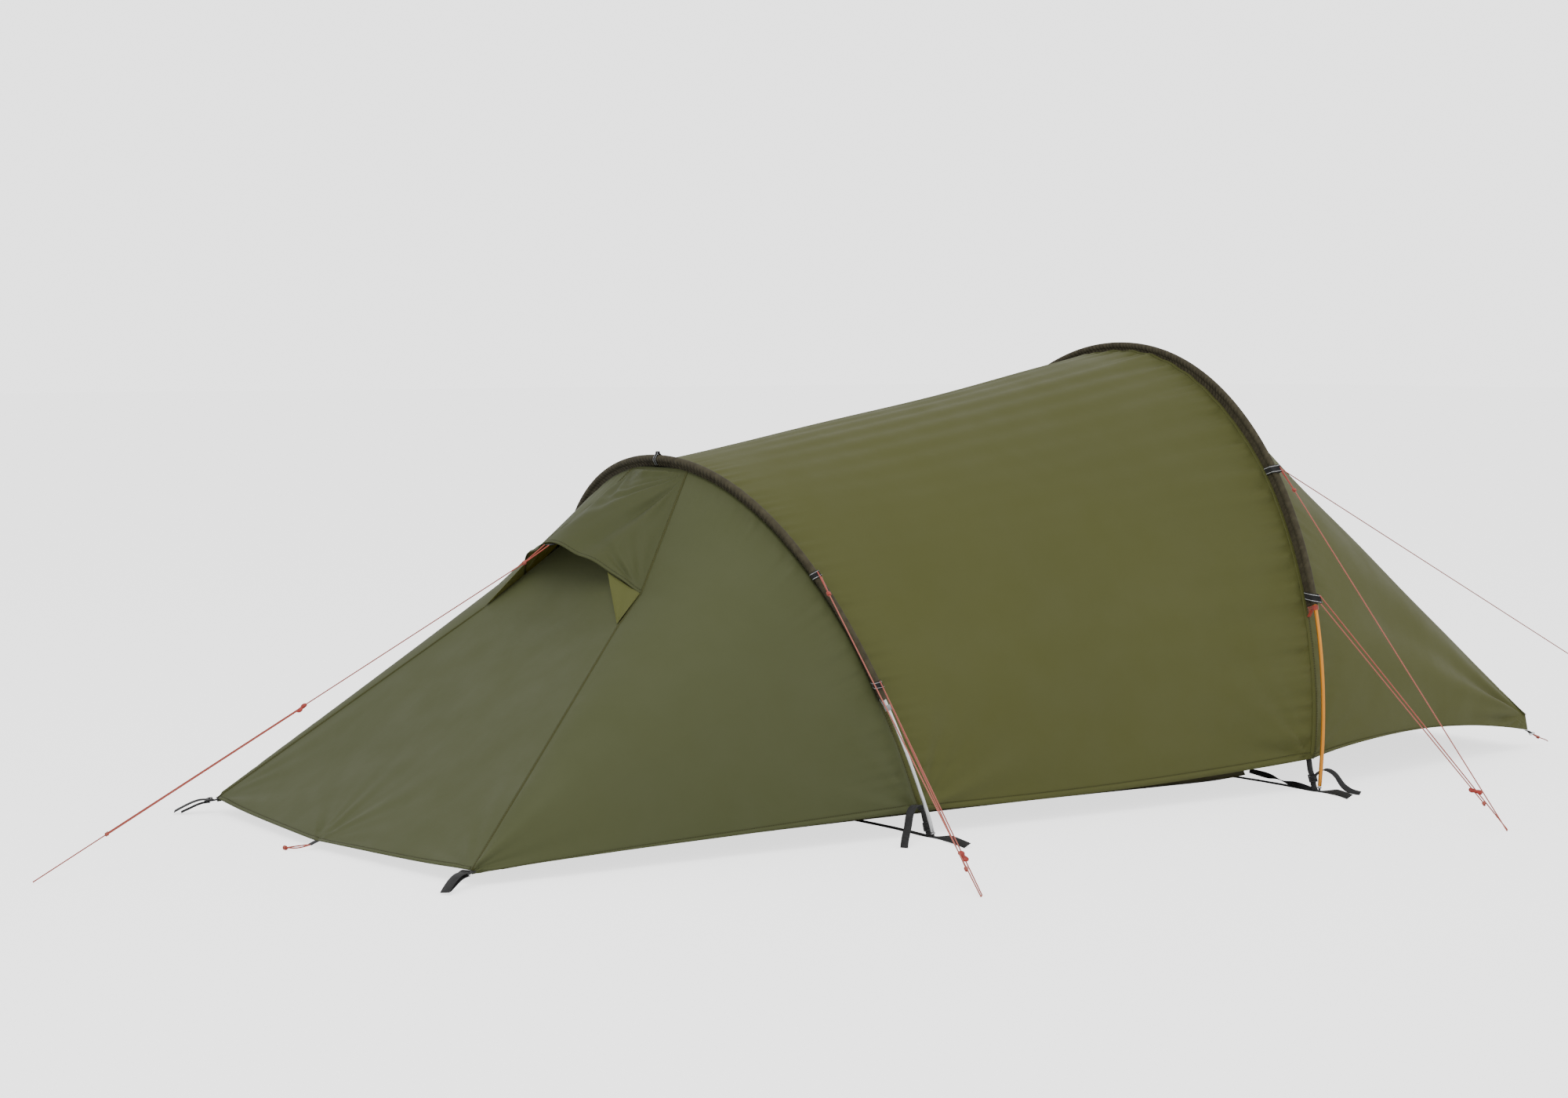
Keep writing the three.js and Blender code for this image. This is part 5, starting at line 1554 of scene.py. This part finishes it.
def porch_corner_straps():
    """At each porch corner a narrow webbing loop holds a steel ring with a loop of cord for the peg."""
    start = porch_corner + [0.004, 0.006, -0.002]
    along = unit(PORCH_PEG - start)
    across = unit(np.cross(along, UP))
    tip = start + along * 0.022 - [0, 0, 0.004]
    middle = lerp(start, tip, 0.5) + [0, 0, 0.001]
    strap_pair("porch_corner_webbing", [start, middle, tip], across, 0.013, node="porch_corner_loop")
    cos, sin = circle(30)
    centre = tip + along * 0.005
    ring = centre + 0.0075 * (np.outer(cos, along) + np.outer(sin, across * 0.8 + UP * 0.5))
    ring = np.concatenate([ring, ring[:2]])
    for side, flip in SIDES:
        finish_piece(loft(f"porch_corner_ring_{side}", tube_sections(ring * flip, 0.0012), steel))
    out = centre + along * 0.0075
    knot_at = out + along * 0.024 + [0, 0, -0.004]
    end = out + along * 0.075 + [0, 0, -0.006]
    bows = [(out, knot_at, 0.004), (out, knot_at, -0.004), (knot_at, end, 0.006)]
    paths = [curve_through([a, lerp(a, b, 0.5) + across * bow, b], 0.002) for a, b, bow in bows]
    cord_pair("porch_corner_cord", [*paths, *knot(knot_at, along, 0.003)])


def foot_middle_loop():
    """A webbing tab at the middle of the foot hem, with a knotted loop of cord for a peg."""
    tab = [foot_middle + step for step in ([0.004, 0, 0.004], [-0.008, 0, 0], [-0.018, 0, -0.004])]
    strap("foot_middle_tab", tab, ACROSS, 0.016)
    start = foot_middle * [1, 0, 1] + [-0.016, 0, -0.004]
    end = start + [-0.045, 0.030, -0.006]
    bends = ([-0.024, 0.002, -0.004], [-0.012, 0.022, -0.004])
    loop = [curve_through([start, start + bend, end], 0.002) for bend in bends]
    cords("foot_middle_cord", [*loop, *knot(end, ACROSS)])


for hoop in (low, tall):
    riser(hoop)
    base_strap(hoop)
low_riser_top, tall_riser_top = (riser_ends(hoop)[1] for hoop in (low, tall))
strap_pair("low_foot_tail", low_riser_top + LOW_TAIL, LOW_TAIL_ACROSS, 0.017)
strap_pair("tall_foot_tail", tall_riser_top + TALL_TAIL, TALL_TAIL_ACROSS, 0.017)
strap_pair("tub_corner_tether", tall_riser_top + TETHER, TETHER_ACROSS, 0.014)
foot_corner_straps()
porch_corner_straps()
foot_middle_loop()


# ---- stage ----
WORLD_LIGHT = 0.9
CAMERA_GLOW = 1.7
FLOOR_HALF = 60.0
CAMERA_PLACE = (-4.5224, -5.2875, 1.066)
CAMERA_TILT = 0.0715
CAMERA_TURN = 0.6558
LENS = 64.03
KEY_LIGHT = {"place": (-3.5, -2.5, 5.5), "target": (0, 0, 0.4), "power": 160}
FILL_LIGHT = {"place": (3.0, -6.0, 3.0), "target": (0.3, 0, 0.4), "power": 60}


def link(name, data):
    obj = bpy.data.objects.new(name, data)
    bpy.context.collection.objects.link(obj)
    return obj


def floor():
    finish = Finish("studio_floor", (0.9, 0.9, 0.9), 0.9)
    finish.glow_to_camera(CAMERA_GLOW)
    corner_places = [(FLOOR_HALF * x, FLOOR_HALF * y, 0) for x, y in ((-1, -1), (1, -1), (1, 1), (-1, 1))]
    mesh_object("floor", corner_places, [(0, 1, 2, 3)], finish.material, smooth_faces=False)


def studio():
    """An even white light all round, which the camera sees brighter than the tent does."""
    world = bpy.data.worlds.new("studio")
    bpy.context.scene.world = world
    world.use_nodes = True
    sky = Nodes(world.node_tree)
    levels = {"To Min": WORLD_LIGHT, "To Max": WORLD_LIGHT + CAMERA_GLOW}
    level = sky.add("MapRange", {**levels, "Value": sky.add("LightPath", {})["Is Camera Ray"]})["Result"]
    background = sky.tree.nodes["Background"].inputs
    sky.put(background, "Color", (1, 1, 1))
    sky.put(background, "Strength", level)


def area_light(name, place, target, power):
    light = bpy.data.lights.new(name, "AREA")
    light.shape = "DISK"
    light.size = 4.0
    light.energy = power
    obj = link(name, light)
    obj.location = place
    obj.rotation_euler = (Vector(target) - Vector(place)).to_track_quat("-Z", "Y").to_euler()


def camera():
    data = bpy.data.cameras.new("camera")
    data.lens = LENS
    data.sensor_width = 36
    data.clip_end = 200
    obj = link("camera", data)
    obj.location = CAMERA_PLACE
    obj.rotation_euler = (math.pi / 2 - CAMERA_TILT, 0, -CAMERA_TURN)
    bpy.context.scene.camera = obj


floor()
studio()
area_light("key", **KEY_LIGHT)
area_light("fill", **FILL_LIGHT)
camera()
